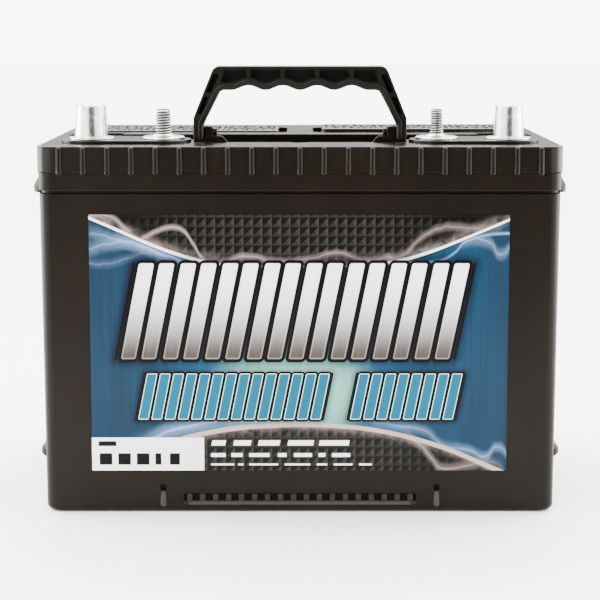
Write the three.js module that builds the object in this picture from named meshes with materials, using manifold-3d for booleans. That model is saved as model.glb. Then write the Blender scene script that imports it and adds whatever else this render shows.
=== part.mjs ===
// A flooded deep cycle battery of BCI group 27, with dual terminals, a folding carry handle and two
// gang vent caps. Millimetres, +Z up, +X to the right of the label, the label on the -Y side, and the
// origin in the middle of the base.

import * as THREE from 'three';
import { mergeVertices } from 'three/addons/utils/BufferGeometryUtils.js';
import Module from 'manifold-3d';

const kernel = await Module();
kernel.setup();

// ---- Driving dimensions -------------------------------------------------------------------------

const FIT_GAP = 0.3;

const CELL_COUNT = 6;
const CELL_PITCH = 49.2;
const PARTITION = 1.8;
const CELL_LENGTH = CELL_PITCH - PARTITION;
const CELL_WIDTH = 160.4;

const CASE_HALF_LENGTH = 151;
const CASE_HALF_LENGTH_TOP = 152.2;
const CASE_FRONT = 83;
const CASE_CORNER = 7;
const CASE_FLOOR = 3.5;
const CASE_TOP = 203;
const BASE_CHAMFER = 3;

const FLANGE_HALF_LENGTH = 152.6;
const FLANGE_FRONT = 84.5;
const FLANGE_BOTTOM = 192.5;
const LIP_HALF_LENGTH = 156.5;
const LIP_BOTTOM = 190.5;
const LIP_HEIGHT = 3.5;
const END_TRIM_HALF_WIDTH = 77;

const LEDGE_HALF_LENGTH = 155;
const LEDGE_BOTTOM = 30.5;
const LEDGE_TOP = 40.5;

const COVER_HALF_LENGTH = 153;
const COVER_FRONT = 85;
const COVER_CORNER = 9;
const DECK = 218.25;
const DECK_THICKNESS = 3;
const REAR_DECK = 219.25;
const REAR_DECK_HALF_LENGTH = 146;
const PAD_TOP = 220.25;

const RIB_PITCH = 13.94;
const RIB_COUNT_FRONT = 21;
const RIB_COUNT_END = 11;
const RIB_PROUD = 1.5;
const RIB_WIDTH = 3.5;
const RIB_BOTTOM = CASE_TOP - 1.2;
const RIB_TOP = DECK - 0.8;

const WELL_FRONT = -53.5;
const WELL_STEP = -35;
const WELL_BACK = -3.5;
const WELL_HALF_LENGTH_FRONT = 64.3;
const WELL_HALF_LENGTH_BACK = 83;
const WELL_FLOOR = 207.25;
const GUSSET_FOOT = 31.5;
const GUSSET_SHOULDER = 46.7;
const GUSSET_THICKNESS = 2.5;

const TERMINAL_Y = -52.5;
const POST_X = 124.6;
const STUD_X = 81.6;
const PAD_HALF_WIDTH = 16.6;
const PAD_INNER_END = 63.6;
const PAD_OUTER_END = 145.4;
const POST_TOP = 240.5;
const POST_TAPER = 1 / 9;
const POSITIVE_POST_DIAMETER = 17.5;
const NEGATIVE_POST_DIAMETER = 15.9;
const POSITIVE_STUD_DIAMETER = 9.5;
const NEGATIVE_STUD_DIAMETER = 7.9;
const STUD_SEAT = 222;
const STUD_TOP = 238;
const STUD_BOTTOM = 214;

const FILLER_Y = 34.5;
const FILLER_RADIUS = 11.2;
const CAP_LENGTH = 120;
const CAP_INNER_END = 14;
const CAP_WIDTH = 42;
const CAP_BOTTOM = 212.75;
const CAP_TOP = 220.25;
const CAP_WALL = 1.8;
const RIGHT_CAP_RISE = 1.25;
const CAP_POCKET_FLOOR = 212.25;
const PRY_GAP = 5.5;
const BARREL_RADIUS = 8.6;
const BARREL_BOTTOM = 196;

const PIVOT_Y = -48;
const PIVOT_Z = 224;
const HANDLE_THICKNESS = 17;
const HANDLE_TOP = 263.5;
const HANDLE_FOOT_BOTTOM = 219.6;
const HANDLE_FOOT_OUTSIDE = 63.5;
const HANDLE_FOOT_INSIDE = 57.5;
const FINGER_PITCH = 20.45;
const PIVOT_BLOCK_INSIDE = 52.2;
const PIVOT_BLOCK_OUTSIDE = 57.2;
const PIN_RADIUS = 2.25;

const LABEL_LEFT = -122.9;
const LABEL_RIGHT = 121.9;
const LABEL_BOTTOM = 25.7;
const LABEL_TOP = 178.4;
const LABEL_THICKNESS = 0.4;

const PLATE_PITCH = 3.5;
const PLATE_WIDTH = 144;
const PLATE_BOTTOM = 14;
const PLATE_TOP = 152;
const POSITIVE_PLATES = 6;
const NEGATIVE_PLATES = 7;
const POSITIVE_PLATE_THICKNESS = 2;
const NEGATIVE_PLATE_THICKNESS = 1.6;
const STRAP_Y = TERMINAL_Y;
const STRAP_BOTTOM = 158;
const STRAP_TOP = 166;
const SEPARATOR_THICKNESS = 0.8;

const ROUND_SIDES = 20;

// ---- Solids: three.js shapes in, one closed body out ----------------------------------------------

function signedVolume(position, index) {
  const [a, b, c] = [new THREE.Vector3(), new THREE.Vector3(), new THREE.Vector3()];
  let volume = 0;
  for (let i = 0; i < index.length; i += 3) {
    a.fromBufferAttribute(position, index[i]);
    b.fromBufferAttribute(position, index[i + 1]);
    c.fromBufferAttribute(position, index[i + 2]);
    volume += a.dot(b.cross(c)) / 6;
  }
  return volume;
}

function solidOf(geometry) {
  geometry.deleteAttribute('normal');
  geometry.deleteAttribute('uv');
  const merged = mergeVertices(geometry);
  const corners = merged.index.array;
  const kept = [];
  for (let i = 0; i < corners.length; i += 3) {
    const [a, b, c] = [corners[i], corners[i + 1], corners[i + 2]];
    if (a !== b && b !== c && c !== a) kept.push(a, b, c);
  }
  const position = merged.attributes.position;
  if (signedVolume(position, kept) < 0) kept.reverse();
  return new kernel.Manifold(new kernel.Mesh({
    numProp: 3,
    vertProperties: Float32Array.from(position.array),
    triVerts: Uint32Array.from(kept),
  }));
}

function geometryOf(solid) {
  const mesh = solid.getMesh();
  const geometry = new THREE.BufferGeometry();
  geometry.setAttribute('position', new THREE.BufferAttribute(mesh.vertProperties, 3));
  geometry.setIndex(new THREE.BufferAttribute(mesh.triVerts, 1));
  geometry.computeVertexNormals();
  return geometry;
}

const join = (first, ...others) => others.reduce((whole, piece) => whole.add(piece), first);
const cut = (first, ...tools) => tools.reduce((whole, tool) => whole.subtract(tool), first);

function box([x0, x1], [y0, y1], [z0, z1]) {
  const geometry = new THREE.BoxGeometry(x1 - x0, y1 - y0, z1 - z0);
  return solidOf(geometry.translate((x0 + x1) / 2, (y0 + y1) / 2, (z0 + z1) / 2));
}

function polygon(points) {
  return new THREE.Shape(points.map(([u, v]) => new THREE.Vector2(u, v)));
}

function roundedRectangle(halfLength, halfWidth, radius) {
  const shape = new THREE.Shape();
  const [x, y] = [halfLength - radius, halfWidth - radius];
  shape.absarc(x, y, radius, 0, Math.PI / 2);
  shape.absarc(-x, y, radius, Math.PI / 2, Math.PI);
  shape.absarc(-x, -y, radius, Math.PI, Math.PI * 1.5);
  shape.absarc(x, -y, radius, Math.PI * 1.5, Math.PI * 2);
  return shape;
}

function extrusion(shape, depth, curveSegments = 5) {
  return new THREE.ExtrudeGeometry(shape, { depth, bevelEnabled: false, curveSegments });
}

// The outline lies in XY and rises along Z.
function prismZ(shape, [z0, z1], curveSegments) {
  return solidOf(extrusion(shape, z1 - z0, curveSegments).translate(0, 0, z0));
}

// The outline is drawn as (x, z) and runs along Y.
function prismY(shape, [y0, y1]) {
  return solidOf(extrusion(shape, y1 - y0).rotateX(Math.PI / 2).translate(0, y1, 0));
}

// The outline is drawn as (y, z) and runs along X.
function prismX(shape, [x0, x1]) {
  const turn = new THREE.Matrix4().set(0, 0, 1, 0, 1, 0, 0, 0, 0, 1, 0, 0, 0, 0, 0, 1);
  return solidOf(extrusion(shape, x1 - x0).applyMatrix4(turn).translate(x0, 0, 0));
}

// A turned solid about a vertical axis at (x, y); the profile is a list of [radius, z].
function turned(profile, x, y, sides = ROUND_SIDES) {
  const points = profile.map(([radius, z]) => new THREE.Vector2(radius, z));
  return solidOf(new THREE.LatheGeometry(points, sides).rotateX(Math.PI / 2).translate(x, y, 0));
}

function drum(radius, [z0, z1], x, y, sides = ROUND_SIDES) {
  return turned([[0, z0], [radius, z0], [radius, z1], [0, z1]], x, y, sides);
}

function rodX(radius, [x0, x1], y, z, sides = 16) {
  const geometry = new THREE.CylinderGeometry(radius, radius, x1 - x0, sides);
  return solidOf(geometry.rotateZ(Math.PI / 2).translate((x0 + x1) / 2, y, z));
}

const sides = [-1, 1];
const spanOn = (side, near, far) => (side < 0 ? [-far, -near] : [near, far]);
const cellCentre = (cell) => (cell - (CELL_COUNT - 1) / 2) * CELL_PITCH;
const partitionCentre = (wall) => (wall + 1 - CELL_COUNT / 2) * CELL_PITCH;
const cells = Array.from({ length: CELL_COUNT }, (_, cell) => cell);
const partitions = Array.from({ length: CELL_COUNT - 1 }, (_, wall) => wall);
const middleOut = (count, pitch) => Array.from(
  { length: count }, (_, i) => (i - (count - 1) / 2) * pitch,
);

// ---- Case: tapered body, upper flange, end ledges and lips, six cells ------------------------------

function taperedBody() {
  const outline = roundedRectangle(CASE_HALF_LENGTH_TOP, CASE_FRONT, CASE_CORNER);
  const body = prismZ(outline, [0, FLANGE_BOTTOM + 1]);
  const [low, high] = [CASE_HALF_LENGTH, CASE_HALF_LENGTH_TOP];
  const front = polygon([
    [-low + BASE_CHAMFER, 0], [low - BASE_CHAMFER, 0], [low, BASE_CHAMFER], [high, FLANGE_BOTTOM],
    [high, CASE_TOP], [-high, CASE_TOP], [-high, FLANGE_BOTTOM], [-low, BASE_CHAMFER],
  ]);
  const end = polygon([
    [-CASE_FRONT + BASE_CHAMFER, 0], [CASE_FRONT - BASE_CHAMFER, 0], [CASE_FRONT, BASE_CHAMFER],
    [CASE_FRONT, CASE_TOP], [-CASE_FRONT, CASE_TOP], [-CASE_FRONT, BASE_CHAMFER],
  ]);
  return body
    .intersect(prismY(front, [-CASE_FRONT - 1, CASE_FRONT + 1]))
    .intersect(prismX(end, [-LIP_HALF_LENGTH, LIP_HALF_LENGTH]));
}

function endTrim(side) {
  const inside = CASE_HALF_LENGTH - 2;
  const ledge = [
    [inside, LEDGE_BOTTOM], [CASE_HALF_LENGTH, LEDGE_BOTTOM], [LEDGE_HALF_LENGTH, LEDGE_BOTTOM + 3],
    [LEDGE_HALF_LENGTH, LEDGE_BOTTOM + 6], [CASE_HALF_LENGTH, LEDGE_TOP], [inside, LEDGE_TOP],
  ];
  const lip = [
    [inside, LIP_BOTTOM], [LIP_HALF_LENGTH, LIP_BOTTOM], [LIP_HALF_LENGTH, LIP_BOTTOM + LIP_HEIGHT],
    [FLANGE_HALF_LENGTH, LIP_BOTTOM + 3 * LIP_HEIGHT], [inside, LIP_BOTTOM + 3 * LIP_HEIGHT],
  ];
  return [ledge, lip].map((profile) => {
    const outline = polygon(profile.map(([x, z]) => [side * x, z]));
    return prismY(outline, [-END_TRIM_HALF_WIDTH, END_TRIM_HALF_WIDTH]);
  });
}

// The toothed hold-down recess and the two pegs beside it, low on the front wall.
const RECESS_HALF_LENGTH = 69.2;
const RECESS_DEPTH = 1.6;
const TOOTH_COUNT = 18;
const TOOTH_PITCH = 7.7;
const TOOTH_WIDTH = 3.3;
const PEG_X = 81;
const PEG_WIDTH = 3.5;

function frontRecess() {
  const wall = [-CASE_FRONT - 1, -CASE_FRONT + RECESS_DEPTH];
  return box([-RECESS_HALF_LENGTH, RECESS_HALF_LENGTH], wall, [7.4, 11.8]);
}

function frontRecessTeeth() {
  const wall = [-CASE_FRONT, -CASE_FRONT + RECESS_DEPTH + 0.4];
  return middleOut(TOOTH_COUNT, TOOTH_PITCH).map(
    (x) => box([x - TOOTH_WIDTH / 2, x + TOOTH_WIDTH / 2], wall, [7, 11.5]),
  );
}

function frontPegs() {
  const wall = [-CASE_FRONT - 1.2, -CASE_FRONT + 0.5];
  return sides.map((side) => {
    const span = spanOn(side, PEG_X - PEG_WIDTH / 2, PEG_X + PEG_WIDTH / 2);
    return box(span, wall, [4.2, 13.7]);
  });
}

function cellSpace(cell) {
  const x = cellCentre(cell);
  return box(
    [x - CELL_LENGTH / 2, x + CELL_LENGTH / 2],
    [-CELL_WIDTH / 2, CELL_WIDTH / 2],
    [CASE_FLOOR, CASE_TOP + 1],
  );
}

// Rests on the cell floor that carry the plates above the mud space.
function plateRests(cell) {
  const x = cellCentre(cell);
  return sides.map((side) => box(
    [x - CELL_LENGTH / 2 - 0.5, x + CELL_LENGTH / 2 + 0.5],
    [side * 40 - 1.5, side * 40 + 1.5],
    [CASE_FLOOR - 0.5, PLATE_BOTTOM],
  ));
}

const CONNECTOR_RADIUS = 6;
const CONNECTOR_Z = 177;
const connectorY = (wall) => (wall % 2 === 0 ? -STRAP_Y : STRAP_Y);

function connectorHole(wall) {
  const x = partitionCentre(wall);
  return rodX(CONNECTOR_RADIUS + FIT_GAP, [x - PARTITION, x + PARTITION], connectorY(wall), CONNECTOR_Z);
}

function makeCase() {
  const flangePlan = roundedRectangle(FLANGE_HALF_LENGTH, FLANGE_FRONT, CASE_CORNER + 1);
  const flange = prismZ(flangePlan, [FLANGE_BOTTOM, CASE_TOP]);
  const outside = join(taperedBody(), flange, ...sides.flatMap(endTrim));
  const faced = join(cut(outside, frontRecess()), ...frontRecessTeeth(), ...frontPegs());
  const hollow = cut(faced, ...cells.map(cellSpace));
  return cut(join(hollow, ...cells.flatMap(plateRests)), ...partitions.map(connectorHole));
}

// ---- Terminals: a lead casting each, from the post over the buried link to the stud seat -----------

const LINK_HALF_WIDTH = 7;
const LINK_SPAN = [212.5, 217];
const BARREL_FOOT = 207;
const POST_BARREL_RADIUS = 9.5;
const SEAT_STEM_RADIUS = 8;
const FLANGE_RADIUS = 13.5;
const FLANGE_TOP = PAD_TOP + 1.15;
const SEAT_RADIUS = 12.9;

// The part of the casting that the cover is moulded round, grown by a clearance.
function buriedCasting(side, grown) {
  const span = spanOn(side, STUD_X, POST_X);
  const link = box(
    span,
    [TERMINAL_Y - LINK_HALF_WIDTH - grown, TERMINAL_Y + LINK_HALF_WIDTH + grown],
    [LINK_SPAN[0] - grown, LINK_SPAN[1] + grown],
  );
  const post = drum(POST_BARREL_RADIUS + grown, [BARREL_FOOT - grown, PAD_TOP], side * POST_X, TERMINAL_Y);
  const seat = drum(SEAT_STEM_RADIUS + grown, [LINK_SPAN[0] - grown, PAD_TOP], side * STUD_X, TERMINAL_Y);
  return join(link, post, seat);
}

function makeTerminal(side, postDiameter, studDiameter) {
  const top = postDiameter / 2;
  const foot = top + (POST_TOP - FLANGE_TOP) * POST_TAPER / 2;
  const post = turned([
    [0, PAD_TOP], [FLANGE_RADIUS, PAD_TOP], [FLANGE_RADIUS - 0.5, FLANGE_TOP], [foot, FLANGE_TOP],
    [top, POST_TOP - 0.7], [top - 0.7, POST_TOP], [0, POST_TOP],
  ], side * POST_X, TERMINAL_Y, 24);
  const seat = turned([
    [0, PAD_TOP], [SEAT_RADIUS, PAD_TOP], [SEAT_RADIUS - 0.4, STUD_SEAT - 0.6],
    [SEAT_RADIUS - 2.2, STUD_SEAT], [0, STUD_SEAT],
  ], side * STUD_X, TERMINAL_Y, 24);
  const socket = drum(
    studDiameter / 2 + FIT_GAP, [STUD_BOTTOM - FIT_GAP, STUD_TOP], side * STUD_X, TERMINAL_Y,
  );
  return cut(join(buriedCasting(side, 0), post, seat), socket);
}

function makeStud(diameter) {
  const radius = diameter / 2;
  return turned([
    [0, STUD_BOTTOM], [radius, STUD_BOTTOM], [radius, STUD_TOP - 1], [radius - 1, STUD_TOP], [0, STUD_TOP],
  ], 0, 0, 20);
}

// The post of lead burned between the end cell's strap and the terminal casting above it.
const RISER_RADIUS = 7;

function makeRiser() {
  const top = BARREL_FOOT - FIT_GAP;
  return turned([[0, STRAP_TOP], [RISER_RADIUS + 1.5, STRAP_TOP], [RISER_RADIUS, top], [0, top]], 0, 0);
}

// ---- Cover: ribbed skirt, deck, handle well, pads, pivot blocks, cap pockets, filler holes ---------

function rib() {
  const halfWidth = RIB_WIDTH / 2;
  const plan = polygon([
    [-halfWidth, 1], [-halfWidth, 0], [-halfWidth * 0.6, -RIB_PROUD], [halfWidth * 0.6, -RIB_PROUD],
    [halfWidth, 0], [halfWidth, 1],
  ]);
  return extrusion(plan, RIB_TOP - RIB_BOTTOM);
}

// Each rib is drawn standing on a face that looks along -Y, then turned to its own face of the skirt.
function skirtRibs() {
  const place = (along, faceDistance, turn) => solidOf(
    rib().translate(along, -faceDistance, RIB_BOTTOM).rotateZ(turn),
  );
  const faces = [
    [RIB_COUNT_FRONT, COVER_FRONT, 0], [RIB_COUNT_FRONT, COVER_FRONT, Math.PI],
    [RIB_COUNT_END, COVER_HALF_LENGTH, Math.PI / 2], [RIB_COUNT_END, COVER_HALF_LENGTH, -Math.PI / 2],
  ];
  return faces.flatMap(
    ([count, distance, turn]) => middleOut(count, RIB_PITCH).map((along) => place(along, distance, turn)),
  );
}

// The lower part of a rib overhangs the case flange, so its root is trimmed back to the skirt face.
function ribRootTrim() {
  const plan = roundedRectangle(COVER_HALF_LENGTH - 0.05, COVER_FRONT - 0.05, COVER_CORNER);
  return prismZ(plan, [RIB_BOTTOM - 1, CASE_TOP]);
}

function terminalPad(side) {
  const halfLength = (PAD_OUTER_END - PAD_INNER_END) / 2;
  const pad = roundedRectangle(halfLength, PAD_HALF_WIDTH, PAD_HALF_WIDTH - 0.01);
  const middle = side * (PAD_OUTER_END + PAD_INNER_END) / 2;
  const geometry = extrusion(pad, PAD_TOP - DECK + 1, 8);
  return solidOf(geometry.translate(middle, TERMINAL_Y, DECK - 1));
}

function handleWell() {
  const rear = box(
    [-WELL_HALF_LENGTH_BACK, WELL_HALF_LENGTH_BACK], [WELL_STEP, WELL_BACK], [WELL_FLOOR, PAD_TOP + 1],
  );
  const front = box(
    [-WELL_HALF_LENGTH_FRONT, WELL_HALF_LENGTH_FRONT], [WELL_FRONT, WELL_STEP + 1],
    [WELL_FLOOR, PAD_TOP + 1],
  );
  return join(rear, front);
}

const POST_POCKET_DEPTH = 4.5;

// A pivot block and its gusset stand in the well just inside each leg of the handle.
function pivotBlock(side) {
  const [back, rise, chamfer] = [4.4, 3.6, 1.5];
  const profile = polygon([
    [PIVOT_Y - back, WELL_FLOOR - 1], [PIVOT_Y + back, WELL_FLOOR - 1],
    [PIVOT_Y + back, PIVOT_Z + rise - chamfer], [PIVOT_Y + back - chamfer, PIVOT_Z + rise],
    [PIVOT_Y - back + chamfer, PIVOT_Z + rise], [PIVOT_Y - back, PIVOT_Z + rise - chamfer],
  ]);
  const block = prismX(profile, spanOn(side, PIVOT_BLOCK_INSIDE, PIVOT_BLOCK_OUTSIDE));
  const gussetOutline = polygon([
    [side * PIVOT_BLOCK_OUTSIDE, WELL_FLOOR - 1], [side * GUSSET_FOOT, WELL_FLOOR - 1],
    [side * GUSSET_SHOULDER, PIVOT_Z - 2], [side * PIVOT_BLOCK_OUTSIDE, PIVOT_Z - 2],
  ]);
  const gusset = prismY(gussetOutline, [WELL_FRONT - 0.5, WELL_FRONT - 0.5 + GUSSET_THICKNESS]);
  const hole = rodX(
    PIN_RADIUS + FIT_GAP, spanOn(side, PIVOT_BLOCK_INSIDE - 1, PIVOT_BLOCK_OUTSIDE + 1), PIVOT_Y, PIVOT_Z,
  );
  return cut(join(block, gusset), hole);
}

// A shallow pocket in the deck behind each post, with a slanted inner end.
function postPocket(side) {
  const [front, back] = [WELL_BACK - 1, WELL_BACK + 9];
  const corners = [[110.5, back], [138, back], [138, front], [113, front]];
  return prismZ(polygon(corners.map(([x, y]) => [side * x, y])), [REAR_DECK - POST_POCKET_DEPTH, PAD_TOP]);
}

function capPocket(side) {
  const span = spanOn(side, CAP_INNER_END - PRY_GAP, CAP_INNER_END + CAP_LENGTH + 0.4);
  const halfWidth = CAP_WIDTH / 2 + 0.4;
  return box(span, [FILLER_Y - halfWidth, FILLER_Y + halfWidth], [CAP_POCKET_FLOOR, PAD_TOP + 1]);
}

const FILLER_TUBE_BOTTOM = 199;
const FILLER_TUBE_WALL = 1.8;

// The underside is hollowed cell by cell, which leaves walls that meet the case partitions.
function undersideHollow(cell) {
  const x = cellCentre(cell);
  const halfLength = CELL_LENGTH / 2 - 1;
  const span = [x - halfLength, x + halfLength];
  const underTerminal = Math.abs(x) > CELL_PITCH;
  const underWell = Math.abs(x) < WELL_HALF_LENGTH_BACK;
  const underLink = LINK_SPAN[0] - DECK_THICKNESS;
  const pocketHalfWidth = CAP_WIDTH / 2 + 3.4;
  const hollows = [
    [-CELL_WIDTH / 2 + 0.5, WELL_FRONT - 3, underTerminal ? underLink : DECK - DECK_THICKNESS],
    [WELL_FRONT - 3, WELL_BACK + 3, underWell ? WELL_FLOOR - DECK_THICKNESS : underLink],
    [WELL_BACK + 3, FILLER_Y - pocketHalfWidth, REAR_DECK - POST_POCKET_DEPTH - DECK_THICKNESS],
    [FILLER_Y - pocketHalfWidth, FILLER_Y + pocketHalfWidth, CAP_POCKET_FLOOR - DECK_THICKNESS],
    [FILLER_Y + pocketHalfWidth, CELL_WIDTH / 2 - 0.5, REAR_DECK - DECK_THICKNESS],
  ];
  return join(...hollows.map(([y0, y1, ceiling]) => box(span, [y0, y1 + 0.01], [CASE_TOP - 1, ceiling])));
}

function makeCover() {
  const skirt = prismZ(roundedRectangle(COVER_HALF_LENGTH, COVER_FRONT, COVER_CORNER), [CASE_TOP, DECK]);
  const rearDeck = box(
    [-REAR_DECK_HALF_LENGTH, REAR_DECK_HALF_LENGTH], [WELL_BACK, COVER_FRONT - 4], [DECK - 1, REAR_DECK],
  );
  const ribs = skirtRibs().map((solid) => cut(solid, ribRootTrim()));
  const outside = join(skirt, rearDeck, ...ribs, ...sides.map(terminalPad));
  const sunk = cut(outside, handleWell(), ...sides.map(postPocket), ...sides.map(capPocket));
  const shell = cut(join(sunk, ...sides.map(pivotBlock)), ...cells.map(undersideHollow));
  const tubes = cells.map((cell) => drum(
    FILLER_RADIUS + FILLER_TUBE_WALL, [FILLER_TUBE_BOTTOM, CAP_POCKET_FLOOR - 1], cellCentre(cell), FILLER_Y,
  ));
  const holes = cells.map((cell) => drum(
    FILLER_RADIUS, [FILLER_TUBE_BOTTOM - 1, CAP_POCKET_FLOOR + 1], cellCentre(cell), FILLER_Y,
  ));
  const bushings = sides.map((side) => buriedCasting(side, FIT_GAP));
  const bushingMouths = sides.flatMap((side) => [
    drum(POST_BARREL_RADIUS + FIT_GAP, [DECK, PAD_TOP + 1], side * POST_X, TERMINAL_Y),
    drum(SEAT_STEM_RADIUS + FIT_GAP, [DECK, PAD_TOP + 1], side * STUD_X, TERMINAL_Y),
  ]);
  return cut(join(shell, ...tubes), ...holes, ...bushings, ...bushingMouths);
}

// ---- Carry handle: pocketed bail with a wavy grip and its own pins ----------------------------------

const HANDLE_HALF = HANDLE_THICKNESS / 2;
const HANDLE_WEB = 5;
const HANDLE_CHAMFER = 2.5;
const GRIP_UNDERSIDE = 250.7;
const GRIP_WAVE = 1.4;
const LEG_KINK = { outside: [HANDLE_FOOT_OUTSIDE, 232.9], inside: [HANDLE_FOOT_INSIDE, 229.2] };
const LEG_TOP = { outside: [51.7, 260.2], inside: [46.4, 248.1] };
const CORNER_END = 44.6;
const POCKET_RIB_HALF = 0.9;

function gripUnderside(x) {
  const wave = Math.cos((2 * Math.PI * x) / FINGER_PITCH);
  return Math.abs(x) < 1.75 * FINGER_PITCH ? GRIP_UNDERSIDE - GRIP_WAVE * wave : GRIP_UNDERSIDE;
}

function handleOutline() {
  const shape = new THREE.Shape();
  const lineTo = (side, [x, z]) => shape.lineTo(side * x, z);
  shape.moveTo(-HANDLE_FOOT_OUTSIDE, HANDLE_FOOT_BOTTOM);
  lineTo(-1, LEG_KINK.outside);
  lineTo(-1, LEG_TOP.outside);
  shape.quadraticCurveTo(-50, HANDLE_TOP, -CORNER_END, HANDLE_TOP);
  shape.lineTo(CORNER_END, HANDLE_TOP);
  shape.quadraticCurveTo(50, HANDLE_TOP, ...LEG_TOP.outside);
  lineTo(1, LEG_KINK.outside);
  shape.lineTo(HANDLE_FOOT_OUTSIDE, HANDLE_FOOT_BOTTOM);
  shape.lineTo(HANDLE_FOOT_INSIDE, HANDLE_FOOT_BOTTOM);
  lineTo(1, LEG_KINK.inside);
  lineTo(1, LEG_TOP.inside);
  shape.quadraticCurveTo(45, GRIP_UNDERSIDE, 42, GRIP_UNDERSIDE);
  const steps = 32;
  for (let step = 0; step <= steps; step += 1) {
    const x = 2 * FINGER_PITCH * (1 - (2 * step) / steps);
    shape.lineTo(x, gripUnderside(x));
  }
  shape.lineTo(-42, GRIP_UNDERSIDE);
  shape.quadraticCurveTo(-45, GRIP_UNDERSIDE, -LEG_TOP.inside[0], LEG_TOP.inside[1]);
  lineTo(-1, LEG_KINK.inside);
  shape.lineTo(-HANDLE_FOOT_INSIDE, HANDLE_FOOT_BOTTOM);
  return shape;
}

// The pocket outlines between the stiffening ribs: five along the grip, the outer two cut short by
// the corners, and two down each leg, which follow its slanted outside.
function pocketOutlines() {
  const [low, high] = [255.6, 262];
  const bays = middleOut(5, FINGER_PITCH).map((x) => {
    const side = Math.sign(x);
    const inner = x - side * (FINGER_PITCH / 2 - POCKET_RIB_HALF);
    const outer = x + side * (FINGER_PITCH / 2 - POCKET_RIB_HALF);
    if (x === 0) {
      const half = FINGER_PITCH / 2 - POCKET_RIB_HALF;
      return [[-half, low], [half, low], [half, high], [-half, high]];
    }
    if (Math.abs(x) < 1.5 * FINGER_PITCH) return [[inner, low], [outer, low], [outer, high], [inner, high]];
    return [[inner, low], [side * 46.5, low], [side * 45, high], [inner, high]];
  });
  const slope = (LEG_KINK.outside[0] - LEG_TOP.outside[0]) / (LEG_TOP.outside[1] - LEG_KINK.outside[1]);
  const outerAt = (z) => HANDLE_FOOT_OUTSIDE - (z - LEG_KINK.outside[1]) * slope - 1.7;
  const legSlots = sides.flatMap((side) => [[234, 245.8], [247.4, 258.5]].map(([foot, head]) => [
    [side * outerAt(foot), foot], [side * outerAt(head), head],
    [side * (outerAt(head) - 3), head], [side * (outerAt(foot) - 2.4), foot],
  ]));
  return [...bays, ...legSlots];
}

// The pockets are cut from the front and the back, down to a web along the middle.
function handlePockets() {
  return pocketOutlines().flatMap((corners) => [
    prismY(polygon(corners), [PIVOT_Y - HANDLE_HALF - 1, PIVOT_Y - HANDLE_WEB / 2]),
    prismY(polygon(corners), [PIVOT_Y + HANDLE_WEB / 2, PIVOT_Y + HANDLE_HALF + 1]),
  ]);
}

function makeHandle() {
  const [front, back] = [PIVOT_Y - HANDLE_HALF, PIVOT_Y + HANDLE_HALF];
  const bail = prismY(handleOutline(), [front, back]);
  const profile = polygon([
    [front + HANDLE_CHAMFER, HANDLE_FOOT_BOTTOM], [back - HANDLE_CHAMFER, HANDLE_FOOT_BOTTOM],
    [back, HANDLE_FOOT_BOTTOM + HANDLE_CHAMFER], [back, HANDLE_TOP],
    [front, HANDLE_TOP], [front, HANDLE_FOOT_BOTTOM + HANDLE_CHAMFER],
  ]);
  const trimmed = bail.intersect(prismX(profile, [-HANDLE_FOOT_OUTSIDE, HANDLE_FOOT_OUTSIDE]));
  const pins = sides.map((side) => rodX(
    PIN_RADIUS, spanOn(side, PIVOT_BLOCK_INSIDE - 2.4, HANDLE_FOOT_INSIDE + 1), PIVOT_Y, PIVOT_Z,
  ));
  return join(cut(trimmed, ...handlePockets()), ...pins);
}

// ---- Gang vent caps: drawn about the middle plug, then placed over their three cells ----------------

const CAP_CENTRE = CAP_INNER_END + CAP_LENGTH / 2;
const plugOffsets = [0, 1, 2].map((plug) => cellCentre(CELL_COUNT / 2 + plug) - CAP_CENTRE);
const ARRESTOR_RADIUS = 5.6;
const ARRESTOR_SPAN = [215, 217];
const ARRESTOR_OFFSET = CELL_PITCH / 2;

function makeVentCap() {
  const [halfLength, halfWidth] = [CAP_LENGTH / 2, CAP_WIDTH / 2];
  const ceiling = CAP_TOP - CAP_WALL;
  const shell = prismZ(roundedRectangle(halfLength, halfWidth, 3), [CAP_BOTTOM, CAP_TOP], 3);
  const hollow = box(
    [-halfLength + CAP_WALL, halfLength - CAP_WALL],
    [-halfWidth + CAP_WALL, halfWidth - CAP_WALL],
    [CAP_BOTTOM - 1, ceiling],
  );
  const barrels = plugOffsets.map((x) => drum(BARREL_RADIUS, [BARREL_BOTTOM, ceiling + 0.5], x, 0));
  const bores = plugOffsets.map((x) => drum(BARREL_RADIUS - 2, [BARREL_BOTTOM - 1, ceiling], x, 0, 16));
  const collar = drum(ARRESTOR_RADIUS + 2, [ARRESTOR_SPAN[0], ceiling + 0.5], ARRESTOR_OFFSET, 0, 16);
  const seat = drum(ARRESTOR_RADIUS + FIT_GAP, [ARRESTOR_SPAN[0] - 1, ceiling], ARRESTOR_OFFSET, 0, 16);
  return cut(join(cut(shell, hollow), ...barrels, collar), ...bores, seat);
}

function makeSealRing() {
  const [inner, outer] = [BARREL_RADIUS + FIT_GAP, FILLER_RADIUS - FIT_GAP];
  return turned([[inner, 206.2], [outer, 206.8], [outer, 208.2], [inner, 208.8], [inner, 206.2]], 0, 0, 16);
}

function makeArrestor() {
  return drum(ARRESTOR_RADIUS, ARRESTOR_SPAN, 0, 0, 16);
}

// ---- Elements: plates, straps, separators and the connectors between cells --------------------------

const LUG_HALF_WIDTH = 5;
const STRAP_HALF_LENGTH = 22;
const STRAP_HALF_WIDTH = 7;

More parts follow.
